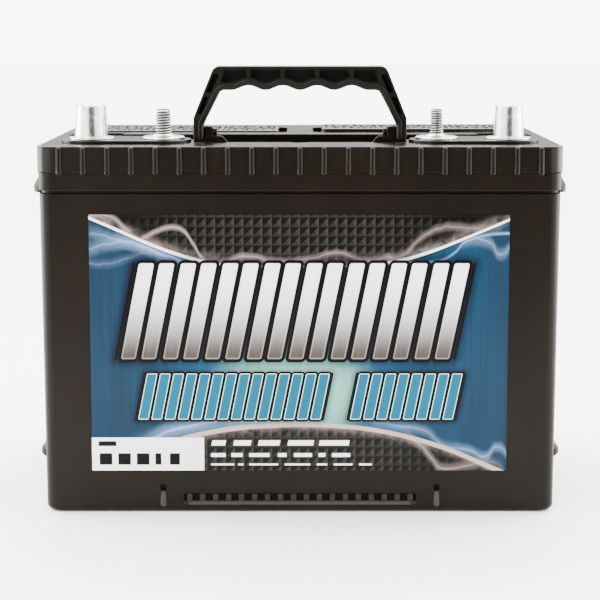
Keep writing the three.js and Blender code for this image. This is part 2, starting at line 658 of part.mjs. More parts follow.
// One polarity of one cell: its plates, their lugs and the strap cast over the lugs.
function makePlateGroup(plateCount, thickness, strapY) {
  const half = PLATE_WIDTH / 2;
  const plateOutline = polygon([
    [-half, PLATE_BOTTOM], [half, PLATE_BOTTOM], [half, PLATE_TOP], [strapY + LUG_HALF_WIDTH, PLATE_TOP],
    [strapY + LUG_HALF_WIDTH, STRAP_BOTTOM + 1], [strapY - LUG_HALF_WIDTH, STRAP_BOTTOM + 1],
    [strapY - LUG_HALF_WIDTH, PLATE_TOP], [-half, PLATE_TOP],
  ]);
  const plates = middleOut(plateCount, 2 * PLATE_PITCH).map(
    (x) => prismX(plateOutline, [x - thickness / 2, x + thickness / 2]),
  );
  const strap = box(
    [-STRAP_HALF_LENGTH, STRAP_HALF_LENGTH],
    [strapY - STRAP_HALF_WIDTH, strapY + STRAP_HALF_WIDTH],
    [STRAP_BOTTOM, STRAP_TOP],
  );
  return join(strap, ...plates);
}

// The outline of a band that follows a path of square corners, half its thickness to either side.
function bandOutline(path, half) {
  const normalAfter = path.slice(1).map((point, i) => {
    const along = point.clone().sub(path[i]).normalize();
    return new THREE.Vector2(-along.y, along.x);
  });
  const offsets = path.map((point, i) => {
    const normals = [normalAfter[i - 1], normalAfter[i]].filter(Boolean);
    return normals.reduce((sum, normal) => sum.addScaledVector(normal, half), new THREE.Vector2());
  });
  const left = path.map((point, i) => point.clone().add(offsets[i]));
  const right = path.map((point, i) => point.clone().sub(offsets[i]));
  return new THREE.Shape([...left, ...right.reverse()]);
}

// One microporous sheet, folded back and forth between the plates of a cell.
function makeSeparatorPack() {
  const gaps = POSITIVE_PLATES + NEGATIVE_PLATES - 1;
  const reach = PLATE_WIDTH / 2 + 1.2;
  const path = middleOut(gaps, PLATE_PITCH).flatMap((x, gap) => {
    const start = gap % 2 === 0 ? -reach : reach;
    return [new THREE.Vector2(x, start), new THREE.Vector2(x, -start)];
  });
  return prismZ(bandOutline(path, SEPARATOR_THICKNESS / 2), [PLATE_BOTTOM + 0.5, PLATE_TOP + 3]);
}

// A pair of upright tabs, welded to each other through the partition.
function makeConnector() {
  const tabs = sides.map((side) => box(
    spanOn(side, PARTITION / 2 + FIT_GAP, PARTITION / 2 + 3.3), [-8, 8], [STRAP_TOP, CONNECTOR_Z + 11],
  ));
  return join(rodX(CONNECTOR_RADIUS, [-2, 2], 0, CONNECTOR_Z), ...tabs);
}

// ---- Materials ---------------------------------------------------------------------------------------

const plastic = (color, roughness) => new THREE.MeshStandardMaterial({ color, roughness, metalness: 0 });
const metal = (color, roughness) => new THREE.MeshStandardMaterial({ color, roughness, metalness: 1 });

const materials = {
  caseBlack: plastic(0x37332d, 0.42),
  coverBlack: plastic(0x332f2a, 0.3),
  handleBlack: plastic(0x2b2823, 0.4),
  capBlack: plastic(0x2d2925, 0.38),
  lead: metal(0xd4d2cf, 0.28),
  castLead: metal(0x8e8f92, 0.55),
  stud: metal(0xc9c5bd, 0.2),
  label: plastic(0x3c7aa8, 0.35),
  seal: plastic(0x1c1b1a, 0.7),
  frit: plastic(0xe6e2d8, 0.9),
  positivePlate: plastic(0x4f3324, 0.85),
  negativePlate: plastic(0x7d8083, 0.8),
  separator: plastic(0xd9d4c7, 0.75),
};

// ---- Assembly ----------------------------------------------------------------------------------------

function named(name, solidOrGeometry, material, x = 0, y = 0, z = 0) {
  const geometry = solidOrGeometry.isBufferGeometry ? solidOrGeometry : geometryOf(solidOrGeometry);
  const mesh = new THREE.Mesh(geometry, material);
  mesh.name = name;
  mesh.position.set(x, y, z);
  return mesh;
}

function makeLabel() {
  return box(
    [LABEL_LEFT, LABEL_RIGHT], [-CASE_FRONT - LABEL_THICKNESS, -CASE_FRONT], [LABEL_BOTTOM, LABEL_TOP],
  );
}

function makeEnclosure() {
  const group = new THREE.Group();
  group.add(
    named('battery_case', makeCase(), materials.caseBlack),
    named('cover', makeCover(), materials.coverBlack),
    named('front_label', makeLabel(), materials.label),
    named('carry_handle', makeHandle(), materials.handleBlack),
  );
  return group;
}

function makeTerminals() {
  const group = new THREE.Group();
  const polarities = [
    ['positive', -1, POSITIVE_POST_DIAMETER, POSITIVE_STUD_DIAMETER],
    ['negative', 1, NEGATIVE_POST_DIAMETER, NEGATIVE_STUD_DIAMETER],
  ];
  polarities.forEach(([polarity, side, postDiameter, studDiameter]) => {
    group.add(
      named(`${polarity}_terminal`, makeTerminal(side, postDiameter, studDiameter), materials.lead),
      named(`${polarity}_stud`, makeStud(studDiameter), materials.stud, side * STUD_X, TERMINAL_Y),
      named(`${polarity}_riser`, makeRiser(), materials.castLead, side * POST_X, TERMINAL_Y),
    );
  });
  return group;
}

function makeVentCaps() {
  const group = new THREE.Group();
  const [capShape, ringShape, discShape] = [makeVentCap(), makeSealRing(), makeArrestor()].map(geometryOf);
  [['left', -1, 0], ['right', 1, RIGHT_CAP_RISE]].forEach(([end, side, rise]) => {
    const cap = new THREE.Group();
    cap.position.set(side * CAP_CENTRE, FILLER_Y, rise);
    cap.rotation.z = side < 0 ? Math.PI : 0;
    cap.add(named(`vent_cap_${end}`, capShape, materials.capBlack));
    cap.add(named(`flame_arrestor_${end}`, discShape, materials.frit, ARRESTOR_OFFSET));
    plugOffsets.forEach((x, plug) => {
      cap.add(named(`plug_seal_${end}_${plug + 1}`, ringShape, materials.seal, x));
    });
    group.add(cap);
  });
  return group;
}

// Neighbouring cells are turned end for end, so that each strap faces the one that it joins.
function makeElements() {
  const group = new THREE.Group();
  const positive = geometryOf(makePlateGroup(POSITIVE_PLATES, POSITIVE_PLATE_THICKNESS, STRAP_Y));
  const negative = geometryOf(makePlateGroup(NEGATIVE_PLATES, NEGATIVE_PLATE_THICKNESS, -STRAP_Y));
  const separator = geometryOf(makeSeparatorPack());
  const connector = geometryOf(makeConnector());
  cells.forEach((cell) => {
    const element = new THREE.Group();
    element.position.x = cellCentre(cell);
    element.rotation.z = cell % 2 === 0 ? 0 : Math.PI;
    element.add(
      named(`positive_plates_${cell + 1}`, positive, materials.positivePlate),
      named(`negative_plates_${cell + 1}`, negative, materials.negativePlate),
      named(`separator_pack_${cell + 1}`, separator, materials.separator),
    );
    group.add(element);
  });
  partitions.forEach((wall) => group.add(named(
    `cell_connector_${wall + 1}`, connector, materials.castLead, partitionCentre(wall), connectorY(wall),
  )));
  return group;
}

const battery = new THREE.Group();
battery.add(makeEnclosure(), makeTerminals(), makeVentCaps(), makeElements());

export default battery;
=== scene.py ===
"""The looks of a group 27 deep cycle battery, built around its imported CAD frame.

Outlines and sizes are in millimetres, in the frame's own axes: +X to the right of the label, the label
on the -Y side, +Z up. Every mesh is scaled to metres when it is made.
"""

import math
import random

import bmesh
import bpy
from mathutils import Matrix, Vector


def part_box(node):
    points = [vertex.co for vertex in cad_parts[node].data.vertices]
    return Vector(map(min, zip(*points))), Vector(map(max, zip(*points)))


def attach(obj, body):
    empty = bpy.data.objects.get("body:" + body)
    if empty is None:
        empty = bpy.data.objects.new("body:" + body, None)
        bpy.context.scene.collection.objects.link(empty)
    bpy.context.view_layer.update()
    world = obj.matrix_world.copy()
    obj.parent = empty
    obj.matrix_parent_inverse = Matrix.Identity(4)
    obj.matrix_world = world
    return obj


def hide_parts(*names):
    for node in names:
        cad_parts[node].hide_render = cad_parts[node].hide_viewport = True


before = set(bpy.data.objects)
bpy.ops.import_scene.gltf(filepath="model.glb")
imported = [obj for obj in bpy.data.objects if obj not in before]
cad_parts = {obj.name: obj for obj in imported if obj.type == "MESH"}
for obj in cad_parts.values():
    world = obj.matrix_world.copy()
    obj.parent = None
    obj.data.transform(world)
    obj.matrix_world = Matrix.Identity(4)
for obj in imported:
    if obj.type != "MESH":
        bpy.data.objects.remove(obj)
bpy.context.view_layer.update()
scene = bpy.context.scene

MM = 0.001


def span_mm(node, axis):
    """Lowest and highest reach of a CAD node along one axis, in millimetres."""
    low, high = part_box(node)
    return low[axis] / MM, high[axis] / MM


# ---- Outlines ----


def arc(centre, radius, start, end, steps):
    """Points on a circle from one angle to another, in degrees."""
    angles = [math.radians(start + (end - start) * i / steps) for i in range(steps + 1)]
    return [(centre[0] + radius * math.cos(a), centre[1] + radius * math.sin(a)) for a in angles]


def rounded_rectangle(half_x, half_y, radius, centre=(0, 0), steps=6):
    x, y = half_x - radius, half_y - radius
    points = []
    for cx, cy, start in ((x, y, 0), (-x, y, 90), (-x, -y, 180), (x, -y, 270)):
        points += arc((centre[0] + cx, centre[1] + cy), radius, start, start + 90, steps)
    return points


def rounded_box(span_u, span_v, radius, steps=4):
    """A rounded rectangle between two spans."""
    centre = (sum(span_u) / 2, sum(span_v) / 2)
    half_u, half_v = abs(span_u[1] - span_u[0]) / 2, abs(span_v[1] - span_v[0]) / 2
    return rounded_rectangle(half_u, half_v, min(radius, half_u * 0.98, half_v * 0.98), centre, steps)


def anticlockwise(outline):
    area = sum(a[0] * b[1] - b[0] * a[1] for a, b in zip(outline, outline[1:] + outline[:1]))
    return outline if area > 0 else outline[::-1]


def quarter_turn(steps):
    """The sine and cosine of angles from 0 to 90 degrees."""
    return [(math.sin(a), math.cos(a)) for a in (math.pi / 2 * i / steps for i in range(steps + 1))]


def inset(outline, distance):
    """The outline moved inwards by a distance, or outwards by a negative one."""
    moved = []
    for i, (x, y) in enumerate(outline):
        before, after = outline[i - 1], outline[(i + 1) % len(outline)]
        first = Vector((x - before[0], y - before[1])).normalized()
        second = Vector((after[0] - x, after[1] - y)).normalized()
        normal = Vector((-first.y - second.y, first.x + second.x))
        scale = distance * 2 / max(normal.length_squared, 0.5)
        moved.append((x + normal.x * scale, y + normal.y * scale))
    return moved


def with_round_corners(corners, radius, steps=5):
    """A polygon with each corner rounded; radius is one number, or one for each corner."""
    radii = radius if isinstance(radius, list) else [radius] * len(corners)
    points = []
    for i, corner in enumerate(corners):
        if radii[i] == 0:
            points.append(tuple(corner))
            continue
        here = Vector(corner)
        to_before = (Vector(corners[i - 1]) - here).normalized()
        to_after = (Vector(corners[(i + 1) % len(corners)]) - here).normalized()
        half_angle = to_before.angle(to_after) / 2
        reach = radii[i] / math.tan(half_angle)
        start, end = here + to_before * reach, here + to_after * reach
        for step in range(steps + 1):
            t = step / steps
            point = start * (1 - t) ** 2 + here * 2 * t * (1 - t) + end * t * t
            points.append((point.x, point.y))
    return points


# ---- Meshes ----

TO_SPACE = {
    "Z": lambda u, v, w: (u, v, w),
    "Y": lambda u, v, w: (u, w, v),
    "X": lambda u, v, w: (w, u, v),
}
EDGE_STEPS = 4
FLARE_LENGTH = 3
SHARP_ANGLE = math.radians(32)
THREAD_SHARP_ANGLE = math.radians(50)


def new_object(name, vertices, faces):
    """A piece with all its faces turned outwards."""
    mesh = bpy.data.meshes.new(name)
    mesh.from_pydata([tuple(c * MM for c in v) for v in vertices], [], faces)
    mesh.validate()
    shape = bmesh.new()
    shape.from_mesh(mesh)
    bmesh.ops.recalc_face_normals(shape, faces=shape.faces)
    shape.to_mesh(mesh)
    shape.free()
    piece = bpy.data.objects.new(name, mesh)
    scene.collection.objects.link(piece)
    return piece


def loft(name, rings):
    """A closed body through rings of points, capped at both ends."""
    size = len(rings[0])
    vertices = [point for ring in rings for point in ring]
    faces = [tuple(range(size))[::-1], tuple(range(len(vertices) - size, len(vertices)))]
    for level in range(len(rings) - 1):
        base = level * size
        for i in range(size):
            j = (i + 1) % size
            faces.append((base + i, base + j, base + size + j, base + size + i))
    return new_object(name, vertices, faces)


def plan_loft(name, sizes, steps):
    """A loft through rounded rectangles: half a length, half a width, a height and a corner radius each."""
    return loft(name, [[(x, y, z) for x, y in rounded_rectangle(half_x, half_y, corner, steps=steps)]
                       for half_x, half_y, z, corner in sizes])


def rim_levels(rounding, steps):
    """Distances into a slab, each with the inset that rounds its rim; a negative rounding flares outwards."""
    if not rounding:
        return [(0, 0)]
    beyond = [(-FLARE_LENGTH, rounding)] if rounding < 0 else []
    return beyond + [(abs(rounding) * (1 - c), rounding * (1 - s)) for s, c in quarter_turn(steps)]


def slab(name, outline, span, rounds=(0, 0), axis="Z", steps=EDGE_STEPS):
    """An outline extruded along an axis, with its two rims rounded or flared."""
    outline = anticlockwise(outline)
    levels = [(span[0] + into, d) for into, d in rim_levels(rounds[0], steps)]
    levels += [(span[1] - into, d) for into, d in rim_levels(rounds[1], steps)[::-1]]
    return loft(name, [[TO_SPACE[axis](u, v, w) for u, v in inset(outline, d)] for w, d in levels])


def turned(name, profile, centre, segments=64):
    """A profile turned about a vertical axis: from the axis to the axis, or a closed one clear of it."""
    vertices, faces, rings = [], [], []
    for radius, z in profile:
        if radius == 0:
            rings.append([len(vertices)])
            vertices.append((centre[0], centre[1], z))
            continue
        rings.append(list(range(len(vertices), len(vertices) + segments)))
        for i in range(segments):
            a = 2 * math.pi * i / segments
            vertices.append((centre[0] + radius * math.cos(a), centre[1] + radius * math.sin(a), z))
    if profile[0][0] > 0:
        rings.append(rings[0])
    for lower, upper in zip(rings, rings[1:]):
        for i in range(segments):
            j = (i + 1) % segments
            corners = [(lower, i), (lower, j), (upper, j), (upper, i)]
            face = tuple(dict.fromkeys(level[k % len(level)] for level, k in corners))
            if len(face) > 2:
                faces.append(face)
    return new_object(name, vertices, faces)


def drum(name, radius, span, centre, segments=48):
    return turned(name, [(0, span[0]), (radius, span[0]), (radius, span[1]), (0, span[1])], centre, segments)


def box(name, span_x, span_y, span_z):
    (left, right), (front, back) = span_x, span_y
    return slab(name, [(left, front), (right, front), (right, back), (left, back)], span_z)


def rod_x(name, radius, span, centre, rounding=0):
    outline = arc(centre, radius, 0, 348.75, 31)
    return slab(name, outline, span, (rounding, rounding), axis="X")


def merged(pieces):
    """Several bodies that don't touch, as one object."""
    with bpy.context.temp_override(active_object=pieces[0], selected_editable_objects=pieces):
        bpy.ops.object.join()
    return pieces[0]


def boolean(target, tools, operation):
    for tool in tools:
        modifier = target.modifiers.new(operation, "BOOLEAN")
        modifier.operation = operation
        modifier.solver = "MANIFOLD"
        modifier.object = tool
    graph = bpy.context.evaluated_depsgraph_get()
    mesh = bpy.data.meshes.new_from_object(target.evaluated_get(graph))
    target.modifiers.clear()
    target.data = mesh
    for tool in tools:
        bpy.data.objects.remove(tool)
    return target


def join(target, *tools):
    return boolean(target, tools, "UNION")


def cut(target, *tools):
    return boolean(target, tools, "DIFFERENCE")


def dress(piece, material, body, replaced, angle=SHARP_ANGLE):
    """Smooth shading with clean flats, a material, a body to ride on and the CAD nodes it stands for."""
    mesh = piece.data
    mesh.materials.clear()
    mesh.materials.append(material)
    mesh.polygons.foreach_set("use_smooth", [True] * len(mesh.polygons))
    mesh.polygons.foreach_set("material_index", [0] * len(mesh.polygons))
    mesh.set_sharp_from_angle(angle=angle)
    weighted = piece.modifiers.new("flat faces stay flat", "WEIGHTED_NORMAL")
    weighted.keep_sharp = True
    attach(piece, body)
    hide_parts(*replaced)
    return piece


# ---- Driving sizes, repeated from the design ----

CELL_PITCH = 49.2
CELL_CENTRES = [(cell - 2.5) * CELL_PITCH for cell in range(6)]
CELL_HALF_LENGTH = 23.7
CELL_HALF_WIDTH = 80.2

CASE_FRONT = 83
DECK = 218.25
REAR_DECK = 219.25
PAD_TOP = 220.25
TERMINAL_Y = -52.5
POST_X = 124.6
STUD_X = 81.6
FILLER_Y = 34.5
PIVOT = (-48, 224)
SIDES = (-1, 1)


def around(centre, half):
    return centre - half, centre + half


def spread(side, near, far):
    """A span on one side of the middle plane."""
    return (near, far) if side > 0 else (-far, -near)


def on_side(side, points):
    """An outline drawn for the right side, on either side."""
    return [(side * u, v) for u, v in points]


def both(make):
    """The left and the right one of a pair."""
    return merged([make(side) for side in SIDES])


# ---- Case ----


FOOT_HALF_LENGTH = 151
FOOT_ROUND = 4
CASE_CORNER = 7


def case_body():
    """The tapered body, its shadow groove and the flange above it, as one loft."""
    sizes = []
    for s, c in quarter_turn(6):
        back = FOOT_ROUND * (1 - s)
        sizes.append((FOOT_HALF_LENGTH - back, CASE_FRONT - back, FOOT_ROUND * (1 - c), CASE_CORNER))
    sizes += [
        (152.2, CASE_FRONT, 190.4, 7), (151.9, 82.7, 190.7, 7), (151.1, 81.9, 190.9, 7),
        (151.1, 81.9, 192.2, 7), (152.0, 83.9, 192.3, 8), (152.45, 84.35, 192.5, 8),
        (152.6, 84.5, 192.9, 8), (152.6, 84.5, 202.6, 8), (152.2, 84.1, 203, 8),
    ]
    return plan_loft("case_shell", sizes, 8)


def end_strip(name, side, profile):
    """A strip across one end of the case that dies away into the rounded corners."""
    root, half, fade = 149, 77, 7
    places = [(half - fade * (1 - s), c) for s, c in quarter_turn(6)[:-1]] + [(half, 0.12)]
    levels = [(-y, f) for y, f in places[::-1]] + places
    return loft(name, [[(side * (root + (x - root) * f), y, z) for x, z in profile] for y, f in levels])


def end_ledge(side):
    corners = [(149, 30.5), (151.1, 30.5), (155, 33.3), (155, 36.4), (151.2, 40.3), (149, 40.3)]
    return end_strip("ledge", side, with_round_corners(corners, [0, 0.8, 1.2, 1.2, 0.8, 0]))


def end_lip(side):
    corners = [(149, 190.5), (156.5, 190.5), (156.5, 194.2), (152.8, 201.5), (149, 201.5)]
    return end_strip("lip", side, with_round_corners(corners, [0, 1.1, 1.4, 0.5, 0]))


TOOTH_PITCH = 7.7
TOOTH_COUNT = 18


def recess_cutter():
    """The toothed recess, with a sloping sill along its lower side."""
    corners = [(-87, 4.2), (-82.6, 4.7), (-81.4, 7.4), (-81.4, 11.7), (-87, 11.9)]
    profile = with_round_corners(corners, [0, 0.3, 0.2, 0.5, 0], 3)
    return slab("recess", profile, (-69.2, 69.2), (2, 2), axis="X")


def recess_teeth():
    teeth = []
    for i in range(TOOTH_COUNT):
        x = (i - (TOOTH_COUNT - 1) / 2) * TOOTH_PITCH
        outline = rounded_box(around(x, 1.65), (7.0, 11.4), 0.4, 2)
        teeth.append(slab("tooth", outline, (-82.85, -81.0), (0.3, 0), axis="Y", steps=2))
    return merged(teeth)


def front_peg(side):
    outline = rounded_box(spread(side, 79.2, 82.8), (3.7, 13.8), 1.75, 6)
    peg = slab("peg", outline, (-84.3, -82.5), (1.3, 0), axis="Y")
    for vertex in peg.data.vertices:
        vertex.co.y += (vertex.co.z - 3.7 * MM) * 0.11 if vertex.co.y < -83.2 * MM else 0
    return peg


def peg_notch(side):
    outline = rounded_box(spread(side, 79.2, 82.8), (13.2, 17.2), 1.7, 6)
    return slab("notch", outline, (-83, -81.6), (-0.3, 0.4), axis="Y")


def cell_cutter(x):
    outline = rounded_rectangle(CELL_HALF_LENGTH, CELL_HALF_WIDTH, 1.5, (x, 0), 2)
    return slab("cell", outline, (3.5, 206))


def make_case():
    shell = case_body()
    join(shell, both(end_ledge), both(end_lip))
    cut(shell, recess_cutter(), both(peg_notch))
    join(shell, recess_teeth(), both(front_peg))
    return cut(shell, merged([cell_cutter(x) for x in CELL_CENTRES]))


# ---- Cover ----

RIB_PITCH = 13.94
SKIRT_BOTTOM = 203
SKIRT_HALF = (153, 85)


def skirt_rib(along, distance, turn):
    """A half-round rib with a rounded crown, standing on a skirt face and turned to its own side."""
    half_width, proud, low, high, steps = 1.7, 1.5, 201.8, 217.9, 8
    across = [math.pi * i / steps for i in range(steps + 1)]
    crown = [(high - 1.6 * (1 - s), c) for s, c in quarter_turn(5)[:-1]]
    levels = [(low, 0.82), (low + 0.35, 1), *crown, (high, 0.12)]
    rings = []
    for z, size in levels:
        back = -(distance - (0.02 if z < SKIRT_BOTTOM + 0.4 else 1.2))
        front = [(along + half_width * size * math.cos(a), -distance - proud * size * math.sin(a) ** 0.7)
                 for a in across]
        points = front + [(along - half_width * size, back), (along + half_width * size, back)]
        cosine, sine = math.cos(turn), math.sin(turn)
        rings.append([(x * cosine - y * sine, x * sine + y * cosine, z) for x, y in points])
    return loft("rib", rings)


def skirt_ribs():
    ribs = []
    for count, distance, turn in ((21, SKIRT_HALF[1], 0), (21, SKIRT_HALF[1], math.pi),
                                  (11, SKIRT_HALF[0], math.pi / 2), (11, SKIRT_HALF[0], -math.pi / 2)):
        ribs += [skirt_rib((i - (count - 1) / 2) * RIB_PITCH, distance, turn) for i in range(count)]
    return merged(ribs)


def skirt_body():
    levels = [(SKIRT_BOTTOM, 0.35), (SKIRT_BOTTOM + 0.35, 0)]
    levels += [(DECK - 1.4 * (1 - s), 1.4 * (1 - c)) for s, c in quarter_turn(5)]
    half_x, half_y = SKIRT_HALF
    return plan_loft("cover_shell", [(half_x - d, half_y - d, z, 9 - d) for z, d in levels], 10)


def terminal_pad(side):
    outline = rounded_box(spread(side, 65, 142.6), around(TERMINAL_Y, 16.6), 16.4, 16)
    return slab("pad", outline, (DECK - 1, PAD_TOP), (0, 0.7))


WELL_FLOOR = 207.25


def well_cutters():
    rear = rounded_box((-83, 83), (-35, -3.5), 2, 4)
    front = rounded_box((-64.3, 64.3), (-53.5, -30), 2, 4)
    scallop = arc((0, -48.6), 8, 0, 351, 39)
    return [
        slab("well_rear", rear, (WELL_FLOOR, REAR_DECK), (1.2, -0.5)),
        slab("well_front", front, (WELL_FLOOR, DECK), (1.2, -0.5)),
        slab("scallop", scallop, (WELL_FLOOR + 2, DECK), (1.2, -0.7)),
    ]


def post_pocket(side):
    corners = anticlockwise(on_side(side, [(110.5, 5.5), (138, 5.5), (138, -4.5), (113, -4.5)]))
    return slab("post_pocket", with_round_corners(corners, 1), (214.75, REAR_DECK), (0.6, -0.4))


CAP_SPAN = (14, 134)
CAP_HALF_WIDTH = 21
CAP_FLOOR = 212.25


def cap_pocket(side):
    along = spread(side, CAP_SPAN[0] - 5.5, CAP_SPAN[1] + 0.4)
    outline = rounded_box(along, around(FILLER_Y, CAP_HALF_WIDTH + 0.4), 2.6)
    return slab("cap_pocket", outline, (CAP_FLOOR, REAR_DECK), (0.4, -0.35))


def centre_groove(side):
    outline = rounded_box(spread(side, 2.3, 8.6), around(FILLER_Y, 0.9), 0.6, 3)
    return slab("groove", outline, (REAR_DECK - 0.8, REAR_DECK), (0.2, -0.1), steps=2)


def pivot_block(side):
    y, z = PIVOT
    profile = with_round_corners(
        [(y - 4.4, WELL_FLOOR - 1), (y + 4.4, WELL_FLOOR - 1), (y + 4.4, z + 3.6), (y - 4.4, z + 3.6)],
        [0, 0, 1.5, 1.5],
    )
    return slab("pivot_block", profile, spread(side, 52.2, 57.2), (0.4, 0.4), axis="X")


def pivot_gusset(side):
    profile = on_side(side, [(57, WELL_FLOOR - 1), (57, 222), (46.7, 222), (31.5, WELL_FLOOR - 1)])
    profile = with_round_corners(profile, [0, 0, 0.8, 0])
    return slab("gusset", profile, (-53.8, -51.5), (0.3, 0.3), axis="Y")


CASTING_FOOT = 212.5
LINK_TOP = 217
LINK_HALF_WIDTH = 7
BARREL_RADIUS = 9.5
SEAT_RADIUS = 8
BUSHING_GAP = 0.3


def link_bar(side, grown=0.0):
    """The bar between a post and its stud seat, or the room for it."""
    outline = rounded_box(spread(side, STUD_X, POST_X), around(TERMINAL_Y, LINK_HALF_WIDTH + grown), 0.5, 2)
    return slab("link", outline, (CASTING_FOOT - grown, LINK_TOP + grown))


def bushing_cavity(side):
    """The room for the buried part of a terminal casting."""
    gap = BUSHING_GAP
    post = drum("post_room", BARREL_RADIUS + gap, (205, 224), (side * POST_X, TERMINAL_Y))
    seat = drum("seat_room", SEAT_RADIUS + gap, (CASTING_FOOT - gap, 224), (side * STUD_X, TERMINAL_Y))
    return [link_bar(side, gap), post, seat]


def underside_hollow(x):
    """The hollows under one cell's share of the cover, between the walls that meet the partitions."""
    half = CELL_HALF_LENGTH - 1
    under_terminal, under_well = abs(x) > CELL_PITCH, abs(x) < 83
    zones = [
        (-79.7, -56.5, 209.5 if under_terminal else 215.25),
        (-56.5, -0.5, 204.25 if under_well else 209.5),
        (-0.5, 10.1, 211.75),
        (10.1, 58.9, 209.25),
        (58.9, 79.7, 216.25),
    ]
    return [box("hollow", around(x, half), (near, far + 0.02), (202, top)) for near, far, top in zones]


def make_cover():
    cover = skirt_body()
    rear_deck = slab("rear_deck", rounded_box((-146, 146), (-3.5, 81), 3), (DECK - 1, REAR_DECK), (0, 0.5))
    join(cover, rear_deck, skirt_ribs(), both(terminal_pad))
    cut(cover, *well_cutters(), both(post_pocket), both(cap_pocket), both(centre_groove))
    join(cover, both(pivot_block), both(pivot_gusset))
    zones = zip(*[underside_hollow(x) for x in CELL_CENTRES])
    cut(cover, *[merged(list(zone)) for zone in zones])
    tubes = [drum("tube", 13, (199, CAP_FLOOR - 1), (x, FILLER_Y)) for x in CELL_CENTRES]
    join(cover, merged(tubes))
    hole = [(0, 198), (11.2, 198), (11.2, CAP_FLOOR - 0.6), (11.8, CAP_FLOOR), (11.8, 214), (0, 214)]
    holes = [turned("hole", hole, (x, FILLER_Y)) for x in CELL_CENTRES]
    pin_holes = [rod_x("pin_hole", 2.55, spread(side, 51, 58.5), PIVOT) for side in SIDES]
    cut(cover, merged(holes), merged(pin_holes))
    for side in SIDES:
        cut(cover, *bushing_cavity(side))
    return cover


# ---- Carry handle ----

FINGER_PITCH = 20.45
HANDLE_TOP = 263.5
HANDLE_FOOT = 219.6
HANDLE_THICKNESS = 17
GRIP_UNDERSIDE = 250.7
FINGER_WAVE = 1.4
LEG_OUTSIDE = 63.5
KNEE = 232.9
CROWN_END = 51.2


def grip_underside(x):
    wave = math.cos(2 * math.pi * min(abs(x), 2 * FINGER_PITCH) / FINGER_PITCH)
    return GRIP_UNDERSIDE - FINGER_WAVE * wave


def inner_edge():
    """The inside edge of the bail, from the foot of the left leg over the grip to the right foot."""
    low = GRIP_UNDERSIDE - FINGER_WAVE
    corners = [(-57.5, HANDLE_FOOT), (-57.5, 229.2), (-47.1, low), (-41, low)]
    left = with_round_corners(corners, [0, 4, 3.5, 0], 8)[:-1]
    waves = [(x, grip_underside(x)) for x in (-41 + 0.5 * i for i in range(165))]
    return left + waves + [(-x, z) for x, z in left[::-1]]


def band(path, width):
    """A strip along one side of a path."""
    moved = []
    for i, (x, z) in enumerate(path):
        before, after = path[max(i - 1, 0)], path[min(i + 1, len(path) - 1)]
        along = Vector((after[0] - before[0], after[1] - before[1])).normalized()
        moved.append((x - along.y * width, z + along.x * width))
    return path + moved[::-1]


def outer_edge():
    right = [(LEG_OUTSIDE, HANDLE_FOOT), (LEG_OUTSIDE, KNEE), (CROWN_END, HANDLE_TOP)]
    return with_round_corners(right + on_side(-1, right[::-1]), [0, 3, 5, 5, 3, 0], 8)


def grip_pocket(left, right, lean=0.0):
    """A hollow whose lower edge follows the finger waves under it."""
    steps, high = 16, 261.9
    places = [left + (right - left) * i / steps for i in range(steps + 1)]
    floor = [(x, grip_underside(x) + 4.7) for x in places]
    corners = floor + [(right - lean, high), (left, high)]
    return with_round_corners(corners, [0.8] + [0] * (steps - 1) + [0.8, 2.2, 2.2], 5)


def handle_pockets():
    """Outlines of the hollows between the stiffening ribs of the grip and down each leg."""
    reach = FINGER_PITCH / 2 - 0.85
    outlines = [grip_pocket(i * FINGER_PITCH - reach, i * FINGER_PITCH + reach) for i in (-1, 0, 1)]
    for side in SIDES:
        outlines.append(on_side(side, grip_pocket(1.5 * FINGER_PITCH + 0.85, 46.8, 1.6)))
        slope = (LEG_OUTSIDE - CROWN_END) / (HANDLE_TOP - KNEE)
        for low, high, width in ((234.2, 245.9, 2.7), (247.3, 259.4, 3.6)):
            outer_low, outer_high = (LEG_OUTSIDE - 1.6 - (z - KNEE) * slope for z in (low, high))
            slot = [(outer_low - width, low + 0.9), (outer_low, low), (outer_high, high),
                    (outer_high - width, high - 0.6)]
            outlines.append(on_side(side, with_round_corners(slot, 1.2, 4)))
    return outlines


def make_handle():
    y = PIVOT[0]
    half = HANDLE_THICKNESS / 2
    inner = inner_edge()
    lifted = [(x * 1.008, z + 0.9 * min(1, max(0, (z - 235) / 8))) for x, z in inner]
    handle = slab("handle_moulding", outer_edge() + lifted, around(y, half - 0.4), (0.7, 0.7), axis="Y")
    rim = slab("rim", band(inner, 4.0), around(y, half), (1.9, 1.9), axis="Y", steps=6)
    join(handle, rim)
    web = 2.4
    outlines = handle_pockets()
    fronts = [slab("pocket", outline, (y - half, y - web), (-0.35, 0.6), axis="Y") for outline in outlines]
    backs = [slab("pocket", outline, (y + web, y + half), (0.6, -0.35), axis="Y") for outline in outlines]
    cut(handle, merged(fronts + backs))
    front, back = around(y, half + 1)
    corners = [(front, 270), (front, HANDLE_FOOT), (back, HANDLE_FOOT), (back, 270)]
    foot = slab("foot_profile", with_round_corners(corners, [0, 4, 4, 0], 8), (-70, 70), axis="X")
    boolean(handle, [foot], "INTERSECT")
    pins = merged([rod_x("pin", 2.25, spread(side, 49.8, 58.5), PIVOT, rounding=0.5) for side in SIDES])
    return join(handle, pins)


# ---- Vent caps ----

CAP_TOP = 220.25
CAP_BOTTOM = 212.75
RIGHT_CAP_RISE = 1.25
RELIEF = 0.85


def raised(outline):
    return slab("raised", outline, (CAP_TOP - RELIEF - 0.3, CAP_TOP - 0.05), (0, 0.2), steps=2)


